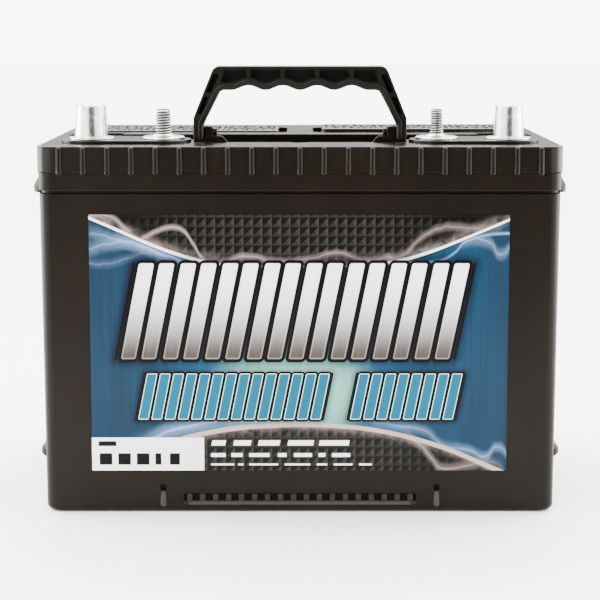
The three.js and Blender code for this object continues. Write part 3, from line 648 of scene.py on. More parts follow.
def relief_rows(rng, panel, rows):
    """Rows of short raised bars across one panel, plain stand-ins for moulded notes."""
    bars, end = [], panel[1] - 1.6
    for y, height in rows:
        x = panel[0] + 1.6
        while x < end - 1.5:
            length = min(rng.uniform(1.4, 5.5), end - x)
            bars.append(raised(rounded_box((x, x + length), around(y, height / 2), 0.5, 2)))
            x += length + rng.uniform(0.9, 2.4)
    return bars


def relief_discs(panel, y, radius, count):
    """A run of raised discs across one panel."""
    start, length = panel[0] + 1, panel[1] - panel[0] - 2
    return [raised(arc((start + length * (i + 0.5) / count, y), radius, 0, 348, 29)) for i in range(count)]


def make_vent_cap(name, side, rise, seed):
    """One gang cap: a shell with three splash barrels under it and a framed, embossed top."""
    rng = random.Random(seed)
    middle = side * sum(CAP_SPAN) / 2
    half_length = (CAP_SPAN[1] - CAP_SPAN[0]) / 2
    plan = rounded_rectangle(half_length, CAP_HALF_WIDTH, 3, (middle, FILLER_Y))
    cap = slab(name, plan, (CAP_BOTTOM, CAP_TOP), (0.3, 0.9))
    low, high = middle - half_length, middle + half_length
    y = FILLER_Y
    panels = [(low + 2.2, low + 36), (low + 38, high - 38), (high - 36, high - 2.2)]
    sunk = (CAP_TOP - RELIEF, CAP_TOP)
    recesses = [slab("panel", rounded_box(span, around(y, 18.4), 1.6), sunk, (0.1, -0.25)) for span in panels]
    cut(cap, merged(recesses))
    outer_rows = [(y - 13.4, 7.0), (y - 4.6, 4.0), (y + 3.4, 6.4), (y + 12.6, 5.6)]
    middle_rows = [(y - 13.6, 6.0), (y - 6.4, 3.0), (y + 13.0, 5.0)]
    bars = relief_rows(rng, panels[0], outer_rows) + relief_rows(rng, panels[1], middle_rows)
    bars += relief_discs(panels[1], y + 2.8, 3.1, 5) + relief_rows(rng, panels[2], outer_rows)
    join(cap, merged(bars))
    inside = slab("inside", rounded_rectangle(half_length - 1.8, CAP_HALF_WIDTH - 1.8, 1.6, (middle, y)),
                  (CAP_BOTTOM - 1, CAP_TOP - 1.8), (0, 0.5))
    plugs = [x for x in CELL_CENTRES if x * side > 0]
    cut(cap, inside)
    join(cap, merged([drum("barrel", 8.6, (196, CAP_TOP - 1.5), (x, y)) for x in plugs]))
    vent_x = (side * 98.6, y)
    join(cap, drum("collar", 7.6, (215, CAP_TOP - 1.5), vent_x, 32))
    slots = [box("slot", around(x, 1.2), around(y, 12), (195, 202)) for x in plugs]
    bores = [drum("bore", 6.6, (195, CAP_TOP - 1.8), (x, y), 32) for x in plugs]
    cut(cap, merged(bores), merged(slots), drum("seat", 5.9, (214, CAP_TOP - 1.8), vent_x, 32))
    cap.data.transform(Matrix.Translation((0, 0, rise * MM)))
    return cap


def make_seal(name, x, rise):
    """A ribbed rubber ring around one plug."""
    lip = [(8.9, 205.9), (10.2, 206.0), (10.9, 206.6), (10.6, 207.1), (10.9, 207.6), (10.6, 208.1),
           (10.9, 208.5), (10.2, 209.0), (8.9, 209.1)]
    return turned(name, [(r, z + rise) for r, z in lip], (x, FILLER_Y), 48)


# ---- Terminals ----

POST_TOP = 240.5
STUD_TOP = 238


def make_terminal(name, side, post_radius, stud_radius):
    """A lead casting: a tapered post, the link buried in the cover and the dished stud seat."""
    foot = post_radius + (POST_TOP - 221.4) / 18
    post = [
        (0, 207), (BARREL_RADIUS, 207), (BARREL_RADIUS, PAD_TOP), (13.1, PAD_TOP), (13.45, 220.45),
        (13.5, 220.8), (13.3, 221.15), (12.9, 221.35), (foot + 1.1, 221.5), (foot + 0.4, 221.75),
        (foot + 0.05, 222.3),
    ]
    rim = [(-0.06, 1.2), (0.06, 0.6), (0.4, 0.18), (0.9, 0), (1.9, 0), (2.3, 0.15), (2.6, 0.45), (3.4, 0.55)]
    post += [(post_radius - inwards, POST_TOP - down) for inwards, down in rim]
    post += [(2.5, POST_TOP - 0.4), (0, POST_TOP - 0.35)]
    mouth = stud_radius + 0.35
    seat = [
        (0, CASTING_FOOT), (SEAT_RADIUS, CASTING_FOOT), (SEAT_RADIUS, PAD_TOP), (12.5, PAD_TOP),
        (12.85, 220.45), (12.9, 220.9), (12.6, 221.4), (11.8, 221.8), (10.7, 222), (mouth + 2.6, 222),
        (mouth + 1.4, 222.25), (mouth + 0.6, 222.8), (mouth + 0.2, 223.2), (0, 223.2),
    ]
    at_stud = (side * STUD_X, TERMINAL_Y)
    terminal = turned(name, post, (side * POST_X, TERMINAL_Y), 96)
    join(terminal, link_bar(side), turned("seat", seat, at_stud, 96))
    return cut(terminal, drum("socket", stud_radius + 0.15, (213.7, 230), at_stud, 64))


def make_stud(name, side, radius, pitch):
    """A stud with a true helical thread, chamfered at its tip."""
    depth, segments, steps_per_turn = 0.6 * pitch, 48, 10
    low, high = 214, STUD_TOP
    count = int((high - low) / pitch * steps_per_turn)
    rings = []
    for level in range(count + 1):
        z = low + (high - low) * level / count
        points = []
        for i in range(segments):
            phase = (z / pitch - i / segments) % 1
            ridge = min(1, max(0, (abs(phase - 0.5) * 2 - 0.22) / 0.6))
            limit = radius - 1.1 + (high - z) * 0.9
            r = min(radius - depth * ridge, limit)
            a = 2 * math.pi * i / segments
            points.append((side * STUD_X + r * math.cos(a), TERMINAL_Y + r * math.sin(a), z))
        rings.append(points)
    return loft(name, rings)


# ---- Label ----

LEFT, RIGHT = span_mm("front_label", 0)
BOTTOM, TOP = span_mm("front_label", 2)


def make_label():
    outline = rounded_box((LEFT, RIGHT), (BOTTOM, TOP), 0.8, 4)
    return slab("front_label_film", outline, (-CASE_FRONT - 0.35, -CASE_FRONT), (0.12, 0), axis="Y", steps=2)


# ---- Materials ----


def plug(tree, value, socket):
    if isinstance(value, Wire):
        tree.links.new(value.socket, socket)
    else:
        socket.default_value = value


def new_node(tree, kind, **inputs):
    """A shader node, with inputs wired or set by name (underscores stand for spaces)."""
    node = tree.nodes.new("ShaderNode" + kind)
    for name, value in inputs.items():
        plug(tree, value, node.inputs[name.replace("_", " ")])
    return node


def as_method(operation):
    return lambda wire, *others: wire.math(operation, *others)


class Wire:
    """A node socket that can stand in a sum, so that a pattern reads as a formula."""

    def __init__(self, tree, socket):
        self.tree = tree
        self.socket = socket

    def math(self, operation, *others):
        node = new_node(self.tree, "Math")
        node.operation = operation
        for value, socket in zip((self, *others), node.inputs):
            plug(self.tree, value, socket)
        return Wire(self.tree, node.outputs[0])

    __add__, __sub__, __mul__, __truediv__ = map(as_method, ("ADD", "SUBTRACT", "MULTIPLY", "DIVIDE"))
    __abs__, least, most, power = map(as_method, ("ABSOLUTE", "MINIMUM", "MAXIMUM", "POWER"))

    def flipped(self):
        return self * -1 + 1

    def ramp(self, start, end, low=0.0, high=1.0, interpolation="SMOOTHSTEP"):
        """Runs from low to high as the value runs from start to end, and stays there beyond."""
        limits = {"From_Min": start, "From_Max": end, "To_Min": low, "To_Max": high}
        node = new_node(self.tree, "MapRange", Value=self, **limits)
        node.interpolation_type = interpolation
        return Wire(self.tree, node.outputs["Result"])

    def fall(self, start, end):
        return self.ramp(start, end, 1.0, 0.0)


class Surface:
    """A material with one Principled shader, and the textures that feed it."""

    def __init__(self, name, **constants):
        self.material = bpy.data.materials.new(name)
        self.material.use_nodes = True
        self.tree = self.material.node_tree
        self.shader = self.tree.nodes["Principled BSDF"]
        for socket, value in constants.items():
            self.shader.inputs[socket.replace("_", " ")].default_value = value
        self.place = Wire(self.tree, new_node(self.tree, "TexCoord").outputs["Object"])
        self.bumps = None

    def axes_mm(self):
        node = new_node(self.tree, "SeparateXYZ", Vector=self.place)
        return [Wire(self.tree, out) / MM for out in node.outputs]

    def noise(self, size_mm, detail, roughness=0.55, stretch=(1, 1, 1), distortion=0.0):
        """Smooth noise between 0 and 1 whose lumps are about size_mm across."""
        mapping = new_node(self.tree, "Mapping", Scale=stretch, Vector=self.place)
        node = new_node(
            self.tree, "TexNoise", Scale=1 / (size_mm * MM), Detail=detail, Roughness=roughness,
            Distortion=distortion, Vector=Wire(self.tree, mapping.outputs["Vector"]),
        )
        return Wire(self.tree, node.outputs["Fac"])

    def mix(self, factor, first, second):
        node = new_node(self.tree, "Mix", Factor=factor)
        node.data_type = "RGBA"
        for colour, socket in ((first, node.inputs[6]), (second, node.inputs[7])):
            plug(self.tree, colour if isinstance(colour, Wire) else (*colour, 1), socket)
        return Wire(self.tree, node.outputs[2])

    def feed(self, socket, value):
        plug(self.tree, value, self.shader.inputs[socket])

    def finished(self, colour, roughness, *bumps):
        """The material, with its bumps: each is a height, a depth in millimetres and a strength."""
        self.feed("Base Color", colour)
        self.feed("Roughness", roughness)
        for height, depth_mm, strength in bumps:
            self.bump(height, depth_mm, strength)
        return self.material

    def bump(self, height, depth_mm, strength):
        node = new_node(self.tree, "Bump", Strength=strength, Distance=depth_mm * MM, Height=height)
        if self.bumps:
            plug(self.tree, self.bumps, node.inputs["Normal"])
        self.bumps = Wire(self.tree, node.outputs["Normal"])
        self.feed("Normal", self.bumps)


def srgb(*levels):
    """A colour given as 0 to 255 display values, made linear."""
    return tuple(((c / 255 + 0.055) / 1.055) ** 2.4 if c > 10 else c / 255 / 12.92 for c in levels)


# Colours of the painted highlight on places that catch the light and of the painted shade in sunk places.
PAINTED_HIGHLIGHT_GREY = srgb(56, 52, 48)
PAINTED_SHADE = srgb(9, 8, 6)


def moulded_plastic(name, dark, light, roughness, grain_mm, ior, highlighted=None, sunk=None, wave=0.2):
    """Moulded polypropylene: faint flow marks, a fine grain, small scuffs and a soft waviness.

    A painted highlight makes given places paler, and painted shade makes sunk ones darker and duller; both
    are worked out from x, y and z.
    """
    surface = Surface(name, IOR=ior, Specular_Tint=(1.0, 0.95, 0.9, 1))
    flow = surface.noise(38, 4, 0.6, stretch=(1, 1, 0.35))
    speck = surface.noise(0.9, 2)
    blend = flow * 0.75 + speck * 0.25
    colour = surface.mix(blend.ramp(0.3, 0.7), dark, light)
    # Painted highlight: the given places are mixed towards a paler grey.
    if highlighted:
        colour = surface.mix(highlighted(*surface.axes_mm()) * speck.ramp(0.2, 0.6, 0.7, 1.0), colour, PAINTED_HIGHLIGHT_GREY)
    # Painted shade: sunk places are mixed towards near black and reflect less.
    if sunk:
        shade_amount = sunk(*surface.axes_mm())
        colour = surface.mix(shade_amount, colour, PAINTED_SHADE)
        surface.feed("Specular IOR Level", shade_amount * -0.45 + 0.5)
    scuffs = surface.noise(14, 6, 0.7).ramp(0.52, 0.72)
    polish = surface.noise(2.2, 3) * 0.1 + scuffs * 0.07 + (roughness - 0.06)
    grain = (surface.noise(grain_mm, 2, 0.6), 0.035, 0.5)
    return surface.finished(colour, polish, grain, (surface.noise(24, 1, 0.4), wave, 0.22))


def between(place, low, high, soft=0.15):
    """One between two places and nothing outside them."""
    return place.ramp(low - soft, low) * place.fall(high, high + soft)


def case_painted_highlight(x, y, z):
    """Painted highlight on the fronts of the teeth, the sill under them and the two pegs."""
    depth = y * -1
    teeth = between(depth, 82.4, 82.9, 0.05) * between(z, 6.9, 11.3)
    sill = between(depth, 81.5, 82.75, 0.1) * between(z, 4.7, 7.0) * abs(x).ramp(64, 68.5, 1.3, 0.2)
    pegs = depth.ramp(83.05, 83.3) * z.fall(14, 16)
    return (teeth * 0.35 + sill * 0.8 + pegs * 0.9) * abs(x).fall(84, 86)


def case_painted_shade(x, y, z):
    """Painted shade in the pockets between the teeth and the notches over the pegs."""
    depth = y * -1
    reach = depth.ramp(81.9, 82.35, 0.8, 0.0) * depth.ramp(81.0, 81.2)
    return reach * between(z, 6.6, 17.5) * abs(x).fall(84, 86)


def bright_lead(name):
    """Burnished cast lead: soft mottling, fine rubbing lines and small pits."""
    surface = Surface(name, Metallic=1.0)
    mottle = surface.noise(5, 5, 0.65)
    spots = surface.noise(0.8, 3).ramp(0.6, 0.75, 1.0, 0.75)
    tone = surface.mix(mottle.ramp(0.35, 0.7), (0.52, 0.5, 0.48), (0.86, 0.85, 0.83))
    colour = surface.mix(spots, (0.2, 0.19, 0.18), tone)
    lines = surface.noise(0.5, 2, stretch=(1, 1, 0.12))
    pits = (surface.noise(1.6, 4, 0.6), 0.12, 0.35)
    return surface.finished(colour, mottle * 0.16 + lines * 0.1 + 0.12, pits, (lines, 0.02, 0.4))


def cast_lead(name):
    surface = Surface(name, Metallic=0.85)
    mottle = surface.noise(3, 5, 0.7)
    colour = surface.mix(mottle, (0.16, 0.17, 0.18), (0.4, 0.4, 0.41))
    return surface.finished(colour, mottle * 0.25 + 0.42, (surface.noise(0.8, 4), 0.15, 0.5))


def rolled_steel(name, side, radius, pitch):
    """Rolled stainless steel, with painted shade down in the thread roots."""
    surface = Surface(name, Metallic=1.0)
    drawn = surface.noise(0.35, 3, stretch=(1, 1, 6))
    x, y, _ = surface.axes_mm()
    out = ((x - side * STUD_X).power(2.0) + (y - TERMINAL_Y).power(2.0)).math("SQRT")
    # Painted shade: the base colour darkens from the crests down into the thread roots.
    unshaded = out.ramp(radius - 0.5 * pitch, radius - 0.12 * pitch)
    steel = surface.mix(surface.noise(2.5, 3), (0.46, 0.44, 0.42), (0.74, 0.72, 0.69))
    colour = surface.mix(unshaded, (0.06, 0.055, 0.05), steel)
    return surface.finished(colour, drawn * 0.18 + unshaded * -0.25 + 0.42, (drawn, 0.012, 0.5))


def dull_sheet(name, dark, light, roughness, lump_mm):
    """Plates, separators, rubber and sintered discs: a rough, mottled matt surface."""
    surface = Surface(name, IOR=1.4)
    lumps = surface.noise(lump_mm, 5, 0.65)
    colour = surface.mix(lumps.ramp(0.3, 0.7), dark, light)
    fine = (surface.noise(lump_mm * 0.4, 4), 0.12, 0.6)
    return surface.finished(colour, lumps * 0.15 + (roughness - 0.08), fine)


# ---- Label print: every shape is a formula in millimetres across (x) and up (z) the film ----


def ink(*levels):
    """The reflectance that shows as this display colour under the studio's lights."""
    wanted = [c * (1 + 7.3 * c**3.75) for c in srgb(*levels)]
    return tuple(min(0.86, max(0.002, c - 0.02) / 3.4) for c in wanted)


class Print:
    """Draws on the film: a colour so far, and the places x and z that shapes are worked out from."""

    def __init__(self, surface):
        self.surface = surface
        self.x, _, self.z = surface.axes_mm()
        self.along = self.x.ramp(LEFT, RIGHT, 0.0, 1.0, "LINEAR")
        self.colour = None

    def lay(self, amount, colour):
        self.colour = self.surface.mix(amount, self.colour, colour)

    def curve(self, points, low=0.0, high=1.0):
        """A smooth function of x through (x, value) points between low and high, level beyond them."""
        tree = self.surface.tree
        node = new_node(tree, "FloatCurve", Value=self.along)
        knots = node.mapping.curves[0].points
        if points[0][0] > LEFT:
            points = ((LEFT, points[0][1]), *points)
        if points[-1][0] < RIGHT:
            points = (*points, (RIGHT, points[-1][1]))
        places = [((x - LEFT) / (RIGHT - LEFT), (value - low) / (high - low)) for x, value in points]
        knots[0].location, knots[1].location = places[0], places[-1]
        for place in places[1:-1]:
            knots.new(*place)
        node.mapping.update()
        return Wire(tree, node.outputs["Value"]) * (high - low) + low

    def rise(self, points):
        """How far a point is above a curve across the film."""
        return self.z - self.curve(points, BOTTOM, TOP)

    def strand(self, points, strengths, width, colour, warp):
        """A thin thread of light along a curve, in a soft glow."""
        off = abs(self.rise(points) + (self.surface.noise(7, 2) - 0.5) * warp)
        light = off.ramp(0.0, width * 0.4, 0.9, 0.0).most(off.ramp(0.0, width * 1.4, 0.42, 0.0))
        self.lay(light * self.curve(strengths), colour)

    def block(self, left, right, low, high, lean=0.0):
        """The distance outside an upright or leaning block, negative inside it."""
        middle = (low + high) / 2
        ends = abs(self.x - (self.z - middle) * lean - (left + right) / 2) - (right - left) / 2
        return ends.most(abs(self.z - middle) - (high - low) / 2)

    def words(self, places, low, high, colour, lean=0.0):
        """Solid bars that stand for small print."""
        outside = self.block(*places[0], low, high, lean)
        for place in places[1:]:
            outside = outside.least(self.block(*place, low, high, lean))
        self.lay(outside.fall(-0.1, 0.15), colour)

    def strokes(self, left, right, low, high, pitch, half, apart, lean, corner):
        """A row of leaning strokes in pairs: the distance outside them, negative inside."""
        middle = (low + high) / 2
        across = self.x - (self.z - middle) * lean
        phase = ((across - left) / pitch).math("FRACT") - 0.5
        pair = abs(abs(phase * pitch) - apart) - half
        ends = abs(across - (left + right) / 2) - (right - left) / 2
        side = pair.most(ends) + corner
        top = abs(self.z - middle) - (high - low) / 2 + corner
        outer = (side.most(0.0).power(2.0) + top.most(0.0).power(2.0)).math("SQRT")
        return outer + side.most(top).least(0.0) - corner


STUD_PITCH = 5.48
TOP_ARC = (
    (LEFT, 176.0), (-106.6, 168.9), (-90.8, 161.8), (-74.3, 155.4), (-56.7, 150.4), (-41.4, 148.3),
    (-15, 147.9), (15, 147.9), (41.4, 148.3), (56.7, 150.4), (74.3, 155.4), (90.8, 161.8), (106.6, 168.4),
    (RIGHT, 175.0),
)
TOP_ARC_WIDTH = (
    (LEFT, 1.4), (-60, 1.5), (-35, 0.8), (0, 0.3), (35, 0.8), (60, 1.5), (90, 1.3), (RIGHT, 1.1),
)
LOW_ARC = (
    (LEFT, 30), (-95, 37.5), (-69.6, 46.1), (-56.7, 49.3), (-37.3, 52.5), (-21.4, 53.7), (0, 54.3),
    (26, 53.3), (46.7, 50.8), (67.3, 46.1), (87.8, 39.6), (104.3, 32.6), (RIGHT, 24.9),
)
LOW_ARC_WIDTH = ((LEFT, 2.8), (-40, 2.6), (0, 2.2), (60, 2.4), (RIGHT, 2.8))
PALE = ink(250, 244, 240)
ROSE = ink(208, 199, 196)
MIST = ink(206, 198, 197)


def print_blue_field(art):
    streaks = art.surface.noise(3.2, 3, 0.6, stretch=(1, 1, 0.03))
    broad = art.surface.noise(26, 1, 0.4, stretch=(1, 1, 0.05))
    depth = (streaks * 0.6 + broad * 0.6).ramp(0.4, 0.8)
    art.colour = art.surface.mix(depth, ink(55, 81, 106), ink(55, 102, 136))
    middle = abs(art.x + 6).fall(20, 92) * art.z.ramp(120, 88, 0.25, 1.0)
    art.lay(middle * 0.75, ink(72, 146, 178))
    glow = ((art.x + 5) / 58).power(2.0) + ((art.z - 73) / 34).power(2.0)
    art.lay(glow.fall(0.02, 1.0) * (streaks * 0.5 + 0.55), ink(184, 210, 200))
    art.lay(abs(art.x).ramp(84, 122, 0.0, 0.3), ink(58, 76, 98))
    art.lay(art.z.ramp(96, 44, 0.0, 0.35) * abs(art.x).ramp(40, 80), ink(50, 72, 98))


def stud_pattern(art):
    """Rows of small pyramids, lit from the lower right, that fade towards the ends."""
    u, v = ((place / STUD_PITCH).math("FRACT") - 0.5 for place in (art.x, art.z - 1.4))
    sideways = abs(u).math("GREATER_THAN", abs(v))
    across = u.math("GREATER_THAN", 0.0) * 0.86 + 0.06
    upright = v.math("LESS_THAN", 0.0) * 0.5 + 0.08
    facet = across * sideways + upright * sideways.flipped()
    facet = facet * (abs(u).most(abs(v)) * 0.6 + 0.7)
    faded = facet * abs(art.x + 4).ramp(40, 104, 1.0, 0.22)
    return art.surface.mix(faded, ink(15, 13, 10), ink(92, 88, 81))


def print_dark_fields(art):
    above, below = art.rise(TOP_ARC), art.rise(LOW_ARC)
    studs = stud_pattern(art)
    art.lay(above.ramp(-0.2, 0.2), studs)
    art.lay(below.fall(-0.2, 0.2), studs)
    clouds = art.surface.noise(9, 4, 0.6, distortion=0.6)
    hazes = ((above, 11.0, 0.28, 0.75, 0.5), (below * -1, 9.0, 0.25, 0.7, 0.45))
    for edge, reach, thin, thick, strength in hazes:
        haze = edge.fall(0.0, reach).power(2.2) * edge.ramp(-0.4, 0.2) * clouds.ramp(thin, thick)
        art.lay(haze * strength, MIST)


def print_arcs(art):
    above, sunk = art.rise(TOP_ARC), art.rise(LOW_ARC) * -1
    arcs = ((above, TOP_ARC_WIDTH, 0.95, PALE), (sunk, LOW_ARC_WIDTH, 0.85, ROSE))
    for edge, widths, strength, tone in arcs:
        width = art.curve(widths, 0.0, 4.0)
        line = edge.ramp(-0.5, 0.0) * (edge - width).fall(-0.35, 0.35)
        art.lay(line * strength, tone)
    art.lay(abs(above + 0.8).ramp(0.0, 0.7, 0.55, 0.0), ink(40, 48, 62))


COOL = ink(196, 208, 222)
COOL_STRANDS = (
    (((LEFT, 158), (-112, 161), (-100, 163), (-84, 156.5), (-66, 150.5), (-50, 148)),
     ((LEFT, 0.3), (-104, 0.5), (-84, 0.6), (-60, 0.4), (-50, 0)), 4.6, COOL, 4.0),
    (((LEFT, 168), (-112, 165.5), (-100, 162), (-86, 158), (-60, 150)),
     ((LEFT, 0.1), (-112, 0.35), (-84, 0.3), (-70, 0)), 4.0, COOL, 5.0),
    (((LEFT, 150), (-114, 149.5), (-100, 152.5), (-90, 156), (-60, 150), (RIGHT, 147)),
     ((-104, 0.16), (-90, 0.1), (-80, 0)), 3.0, COOL, 3.0),
    (((LEFT, 160), (92, 162), (104, 164), (112, 161), (116, 155), (RIGHT, 159)),
     ((88, 0), (100, 0.4), (RIGHT, 0.35)), 4.2, COOL, 3.5),
    (((LEFT, 38), (-92, 43.5), (-76, 50), (-58, 54), (-38, 57), (-10, 57)),
     ((LEFT, 0), (-96, 0.2), (-70, 0.7), (-44, 0.5), (-20, 0.15), (0, 0)), 5.5, COOL, 3.0),
    (((LEFT, 52), (40, 55), (60, 52.5), (74, 50), (84, 41.5), (100, 38), (110, 34.5), (116, 40), (RIGHT, 36)),
     ((34, 0), (56, 0.4), (84, 0.3), (104, 0.45), (RIGHT, 0.4)), 3.4, COOL, 2.0),
)
MIST_STRANDS = (
    (((LEFT, 178), (-108, 176), (-95, 164.4), (-84, 168.5), (-76, 171), (-70, 170.3), (-62, 161),
      (-55, 151.5), (-20, 148)),
     ((-95, 0), (-90, 0.8), (-62, 0.9), (-53, 0.85), (-46, 0)), 1.9, MIST, 0.0),
    (((LEFT, 178), (-111, 177.5), (-100, 169), (-90, 163)),
     ((-104, 0.7), (-92, 0)), 2.2, MIST, 0.6),
    (((LEFT, 150), (30, 149.5), (56, 152.5), (72, 166), (84, 171), (100, 170.6), (112, 170.2), (RIGHT, 176)),
     ((40, 0), (58, 0.38), (88, 0.42), (112, 0.26), (RIGHT, 0.4)), 2.8, MIST, 3.0),
    (((-48, 150), (-32, 154), (-14, 151), (6, 152.5), (22, 156), (40, 151), (52, 153.5), (62, 151)),
     ((-52, 0), (-34, 0.95), (0, 0.7), (22, 0.5), (52, 0.6), (66, 0)), 2.2, MIST, 2.0),
    (((LEFT, 150), (50, 149), (64, 150.6), (82, 151.5), (90, 156), (97, 163), (108, 166.3), (RIGHT, 167.5)),
     ((56, 0), (64, 0.6), (100, 0.7), (RIGHT, 0.85)), 1.1, COOL, 0.0),
    (((LEFT, 46), (56, 49), (70, 42), (78, 33), (84, 27), (98, 28.5), (112, 31), (RIGHT, 26)),
     ((58, 0), (66, 0.5), (84, 0.5), (104, 0.35), (RIGHT, 0)), 3.6, MIST, 1.5),
)


def print_emblems(art):
    """Two rows of plain leaning strokes: a tall silver one and a lower cyan one."""
    shade, rim = ink(22, 36, 56), ink(44, 38, 34)
    streaks = art.surface.noise(1.6, 2, 0.5, stretch=(1, 1, 0.1))
    tall = art.strokes(-101.5, 95.3, 92.8, 149.8, 24.6, 4.35, 5.95, 0.2, 1.3)
    art.lay(tall.ramp(1.4, 7.4, 0.62, 0.0), shade)
    art.lay(tall.fall(1.75, 2.05), rim)
    sheen = art.z.ramp(94, 143) + streaks * 0.06 - 0.03
    silver = art.surface.mix(sheen, ink(120, 111, 105), ink(236, 232, 229))
    art.lay(tall.fall(-0.12, 0.12), silver)
    art.lay(abs(tall + 0.5).ramp(0.15, 0.45, 0.2, 0.0), ink(226, 219, 214))
    for left, right in ((-93.5, 15.7), (31.3, 93.7)):
        low = art.strokes(left, right, 56.6, 84.2, 15.6, 3.0, 3.9, 0.2, 0.8)
        art.lay(low.ramp(1.0, 5.0, 0.55, 0.0), shade)
        art.lay(low.fall(1.15, 1.45), rim)
        art.lay(low.fall(-0.1, 0.1), ink(214, 240, 244))
        art.lay((low + 0.33).fall(-0.08, 0.08), ink(0, 147, 172))


def print_small_bars(art):
    white, black = ink(252, 252, 250), ink(38, 34, 32)
    art.words([(-52, -44), (-39, -29), (-24.5, -12), (-7, 8), (11.5, 29)], 40.9, 44.0, white, 0.2)
    line = [(-52.5, -44), (-40.5, -34), (-30, -18), (-13, -8), (-3.5, 7), (11, 15), (19, 29.6)]
    art.words(line, 34.0, 36.2, white)
    line = [(-52.5, -39), (-36.5, -33.5), (-30, -13), (-9, 6), (10, 16), (20, 31), (35, 42.5)]
    art.words(line, 28.9, 29.9, white)
    art.lay(art.block(LEFT - 2, -56.7, BOTTOM - 2, 45.7).fall(-0.1, 0.1), white)
    art.words([(-119, -108.5)], 40.5, 43.5, black)
    art.words([(-118.5, -111), (-107.5, -100), (-96.5, -89), (-85.5, -82), (-77, -71)], 29.2, 36.2, black)


def printed_label(name):
    """The film's print under a clear gloss: blue field, dark studded bands, arcs, strands and bars."""
    surface = Surface(name, IOR=1.17)
    art = Print(surface)
    print_blue_field(art)
    for strand in COOL_STRANDS:
        art.strand(*strand)
    print_dark_fields(art)
    for strand in MIST_STRANDS:
        art.strand(*strand)
    print_arcs(art)
    print_emblems(art)
    print_small_bars(art)
    ripple = (surface.noise(60, 1, 0.3), 0.5, 0.12)
    return surface.finished(art.colour, surface.noise(9, 3) * 0.07 + 0.3, ripple)


# ---- Dressing the frame ----

EVERY_CAP = (("left", -1, 0), ("right", 1, RIGHT_CAP_RISE))
TERMINALS = (("positive", -1, 8.75, 4.76, 1.5875), ("negative", 1, 7.95, 3.97, 1.4111))


def dress_enclosure():
    # The case gets a painted highlight on its teeth, sill and pegs, and painted shade in the pockets between
    # them.
    case = moulded_plastic(
        "case_polypropylene", srgb(13, 10, 7), srgb(18, 14, 10), 0.34, 0.55, 1.18, case_painted_highlight, case_painted_shade)
    cover = moulded_plastic(
        "cover_polypropylene", srgb(15, 12, 9), srgb(20, 17, 12), 0.25, 0.7, 1.21, wave=0.06)
    grip = moulded_plastic("handle_polypropylene", srgb(13, 12, 9), srgb(18, 16, 13), 0.34, 0.5, 1.24)
    dress(make_case(), case, "battery", ["battery_case"])
    dress(make_cover(), cover, "battery", ["cover"])
    dress(make_handle(), grip, "handle", ["carry_handle"])
    dress(make_label(), printed_label("printed_film"), "battery", ["front_label"])


def dress_terminals():
    lead = bright_lead("burnished_lead")
    for polarity, side, post, stud, pitch in TERMINALS:
        casting = make_terminal(f"{polarity}_casting", side, post, stud)
        dress(casting, lead, "battery", [f"{polarity}_terminal"])
        threaded = make_stud(f"{polarity}_threaded_stud", side, stud, pitch)
        steel = rolled_steel(f"{polarity}_stud_stainless", side, stud, pitch)
        dress(threaded, steel, "battery", [f"{polarity}_stud"], THREAD_SHARP_ANGLE)


def dress_vent_caps():
    rubber = dull_sheet("seal_rubber_black", (0.012, 0.012, 0.012), (0.03, 0.03, 0.03), 0.6, 1.2)
    for end, side, rise in EVERY_CAP:
        body = f"vent_cap_{end}"
        floor = CAP_TOP - RELIEF + rise

        # Painted shade on the floor of the sunk panels, between the raised bars.
        def panel_floor_shade(x, y, z, floor=floor):
            return z.fall(floor + 0.2, floor + 0.7) * z.ramp(floor - 0.4, floor - 0.2)

        plastic = moulded_plastic(
            f"{end}_cap_polypropylene", srgb(19, 16, 13), srgb(25, 22, 17), 0.3, 0.6, 1.42, sunk=panel_floor_shade)
        cap = make_vent_cap(f"gang_cap_{end}", side, rise, 7 if side < 0 else 19)
        dress(cap, plastic, body, [body])
        plugs = sorted((x for x in CELL_CENTRES if x * side > 0), key=abs)
        for number, x in enumerate(plugs, 1):
            node = f"plug_seal_{end}_{number}"
            seal = make_seal(f"seal_{end}_{number}", x, rise)
            dress(seal, rubber, body, [node])


def dress_inner_nodes():
    """The CAD nodes inside keep their shapes and get their own materials."""
    finishes = {
        "positive_plates": dull_sheet(
            "lead_dioxide_paste", (0.045, 0.018, 0.01), (0.11, 0.05, 0.03), 0.85, 2.0),
        "negative_plates": dull_sheet(
            "sponge_lead_paste", (0.13, 0.135, 0.14), (0.26, 0.26, 0.27), 0.8, 2.0),
        "separator_pack": dull_sheet("microporous_sheet", (0.5, 0.48, 0.42), (0.7, 0.67, 0.6), 0.75, 4.0),
        "cell_connector": cast_lead("connector_lead"),
        "positive_riser": cast_lead("positive_riser_lead"),
        "negative_riser": cast_lead("negative_riser_lead"),
        "flame_arrestor": dull_sheet("sintered_disc", (0.55, 0.52, 0.46), (0.8, 0.77, 0.7), 0.85, 0.5),
    }
    for name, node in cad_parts.items():
        for start, material in finishes.items():
            if name.startswith(start):
                node.data.materials.clear()
                node.data.materials.append(material)


dress_enclosure()
dress_terminals()
dress_vent_caps()
dress_inner_nodes()


# ---- Studio ----

CAMERA_DISTANCE = 0.85
CAMERA_ABOVE_DECK = 0.072
CAMERA_PITCH = 6.36
CAMERA_LENS = 88.9
CAMERA_SHIFT = -0.19
WORLD_FRONT, WORLD_SIDES, WORLD_BACK, WORLD_TOP, WORLD_SEEN = 0.12, 1.8, 0.3, 2.6, 8.6


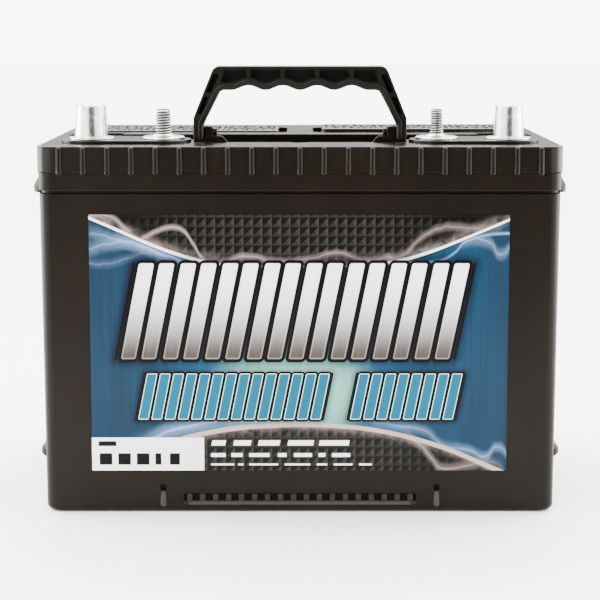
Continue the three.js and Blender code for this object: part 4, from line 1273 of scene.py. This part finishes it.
def make_camera():
    data = bpy.data.cameras.new("camera")
    data.lens = CAMERA_LENS
    data.sensor_width = 36
    data.shift_y = CAMERA_SHIFT
    data.clip_end = 50
    camera = bpy.data.objects.new("camera", data)
    scene.collection.objects.link(camera)
    front = span_mm("cover", 1)[0] * MM
    camera.location = (0, front - CAMERA_DISTANCE, DECK * MM + CAMERA_ABOVE_DECK)
    camera.rotation_euler = (math.radians(90 - CAMERA_PITCH), 0, 0)
    scene.camera = camera


def make_floor():
    floor = slab("floor", rounded_box((-6000, 6000), (-600, 9000), 300, 8), (-20, 0))
    surface = Surface("pale_floor", IOR=1.3)
    colour = surface.mix(surface.noise(300, 2), (0.86, 0.86, 0.85), (0.9, 0.9, 0.89))
    floor.data.materials.append(surface.finished(colour, surface.noise(5, 2) * 0.1 + 0.6))


def make_light(name, place, target, size, power):
    """A soft panel; places and sizes are in metres."""
    data = bpy.data.lights.new(name, "AREA")
    data.shape = "RECTANGLE"
    data.size, data.size_y = size
    data.energy = power
    light = bpy.data.objects.new(name, data)
    light.location = place
    light.rotation_euler = (Vector(target) - Vector(place)).to_track_quat("-Z", "Y").to_euler()
    light.visible_camera = False
    scene.collection.objects.link(light)


def make_world():
    """A white studio: plain white behind, bright to the sides and the back, dark behind the viewer."""
    world = bpy.data.worlds.new("studio")
    world.use_nodes = True
    tree = world.node_tree
    background = tree.nodes["Background"]
    background.inputs["Color"].default_value = (1.0, 0.995, 0.985, 1)
    place = Wire(tree, new_node(tree, "TexCoord").outputs["Generated"])
    _, toward_back, up = (Wire(tree, out) for out in new_node(tree, "SeparateXYZ", Vector=place).outputs)
    light = toward_back.ramp(-0.8, -0.15, WORLD_FRONT, WORLD_SIDES)
    light = light * toward_back.ramp(0.3, 0.95, 1.0, WORLD_BACK) * up.ramp(0.2, 0.8, 1.0, WORLD_TOP)
    seen = Wire(tree, new_node(tree, "LightPath").outputs["Is Camera Ray"])
    plug(tree, light * seen.flipped() + seen * WORLD_SEEN, background.inputs["Strength"])
    scene.world = world


LIGHTS = (
    ("key", (-0.8, -1.1, 1.25), (0, 0, 0.12), (0.7, 0.7), 20),
    ("fill", (0.9, -1.2, 1.1), (0, 0, 0.12), (0.6, 0.6), 6),
    ("front_strip", (0, -1.35, 0.95), (0, 0, 0.1), (2.4, 0.2), 6),
    ("left_front_panel", (-0.95, -1.05, 0.2), (0, 0, 0.2), (1.3, 0.36), 12),
    ("right_front_panel", (1.1, -0.9, 0.2), (0, 0, 0.2), (1.2, 0.36), 10),
    ("floor_wash", (0, 6.0, 3.2), (0, 6.0, 0), (12.0, 10.0), 3200),
    ("top", (0, 0.35, 1.4), (0, 0, 0.2), (1.6, 1.0), 40),
    ("left_panel", (-1.15, 0.1, 0.4), (0, 0, 0.2), (0.8, 0.8), 44),
    ("right_panel", (1.15, 0.1, 0.4), (0, 0, 0.2), (0.8, 0.8), 36),
)

make_camera()
make_floor()
make_world()
for light in LIGHTS:
    make_light(*light)
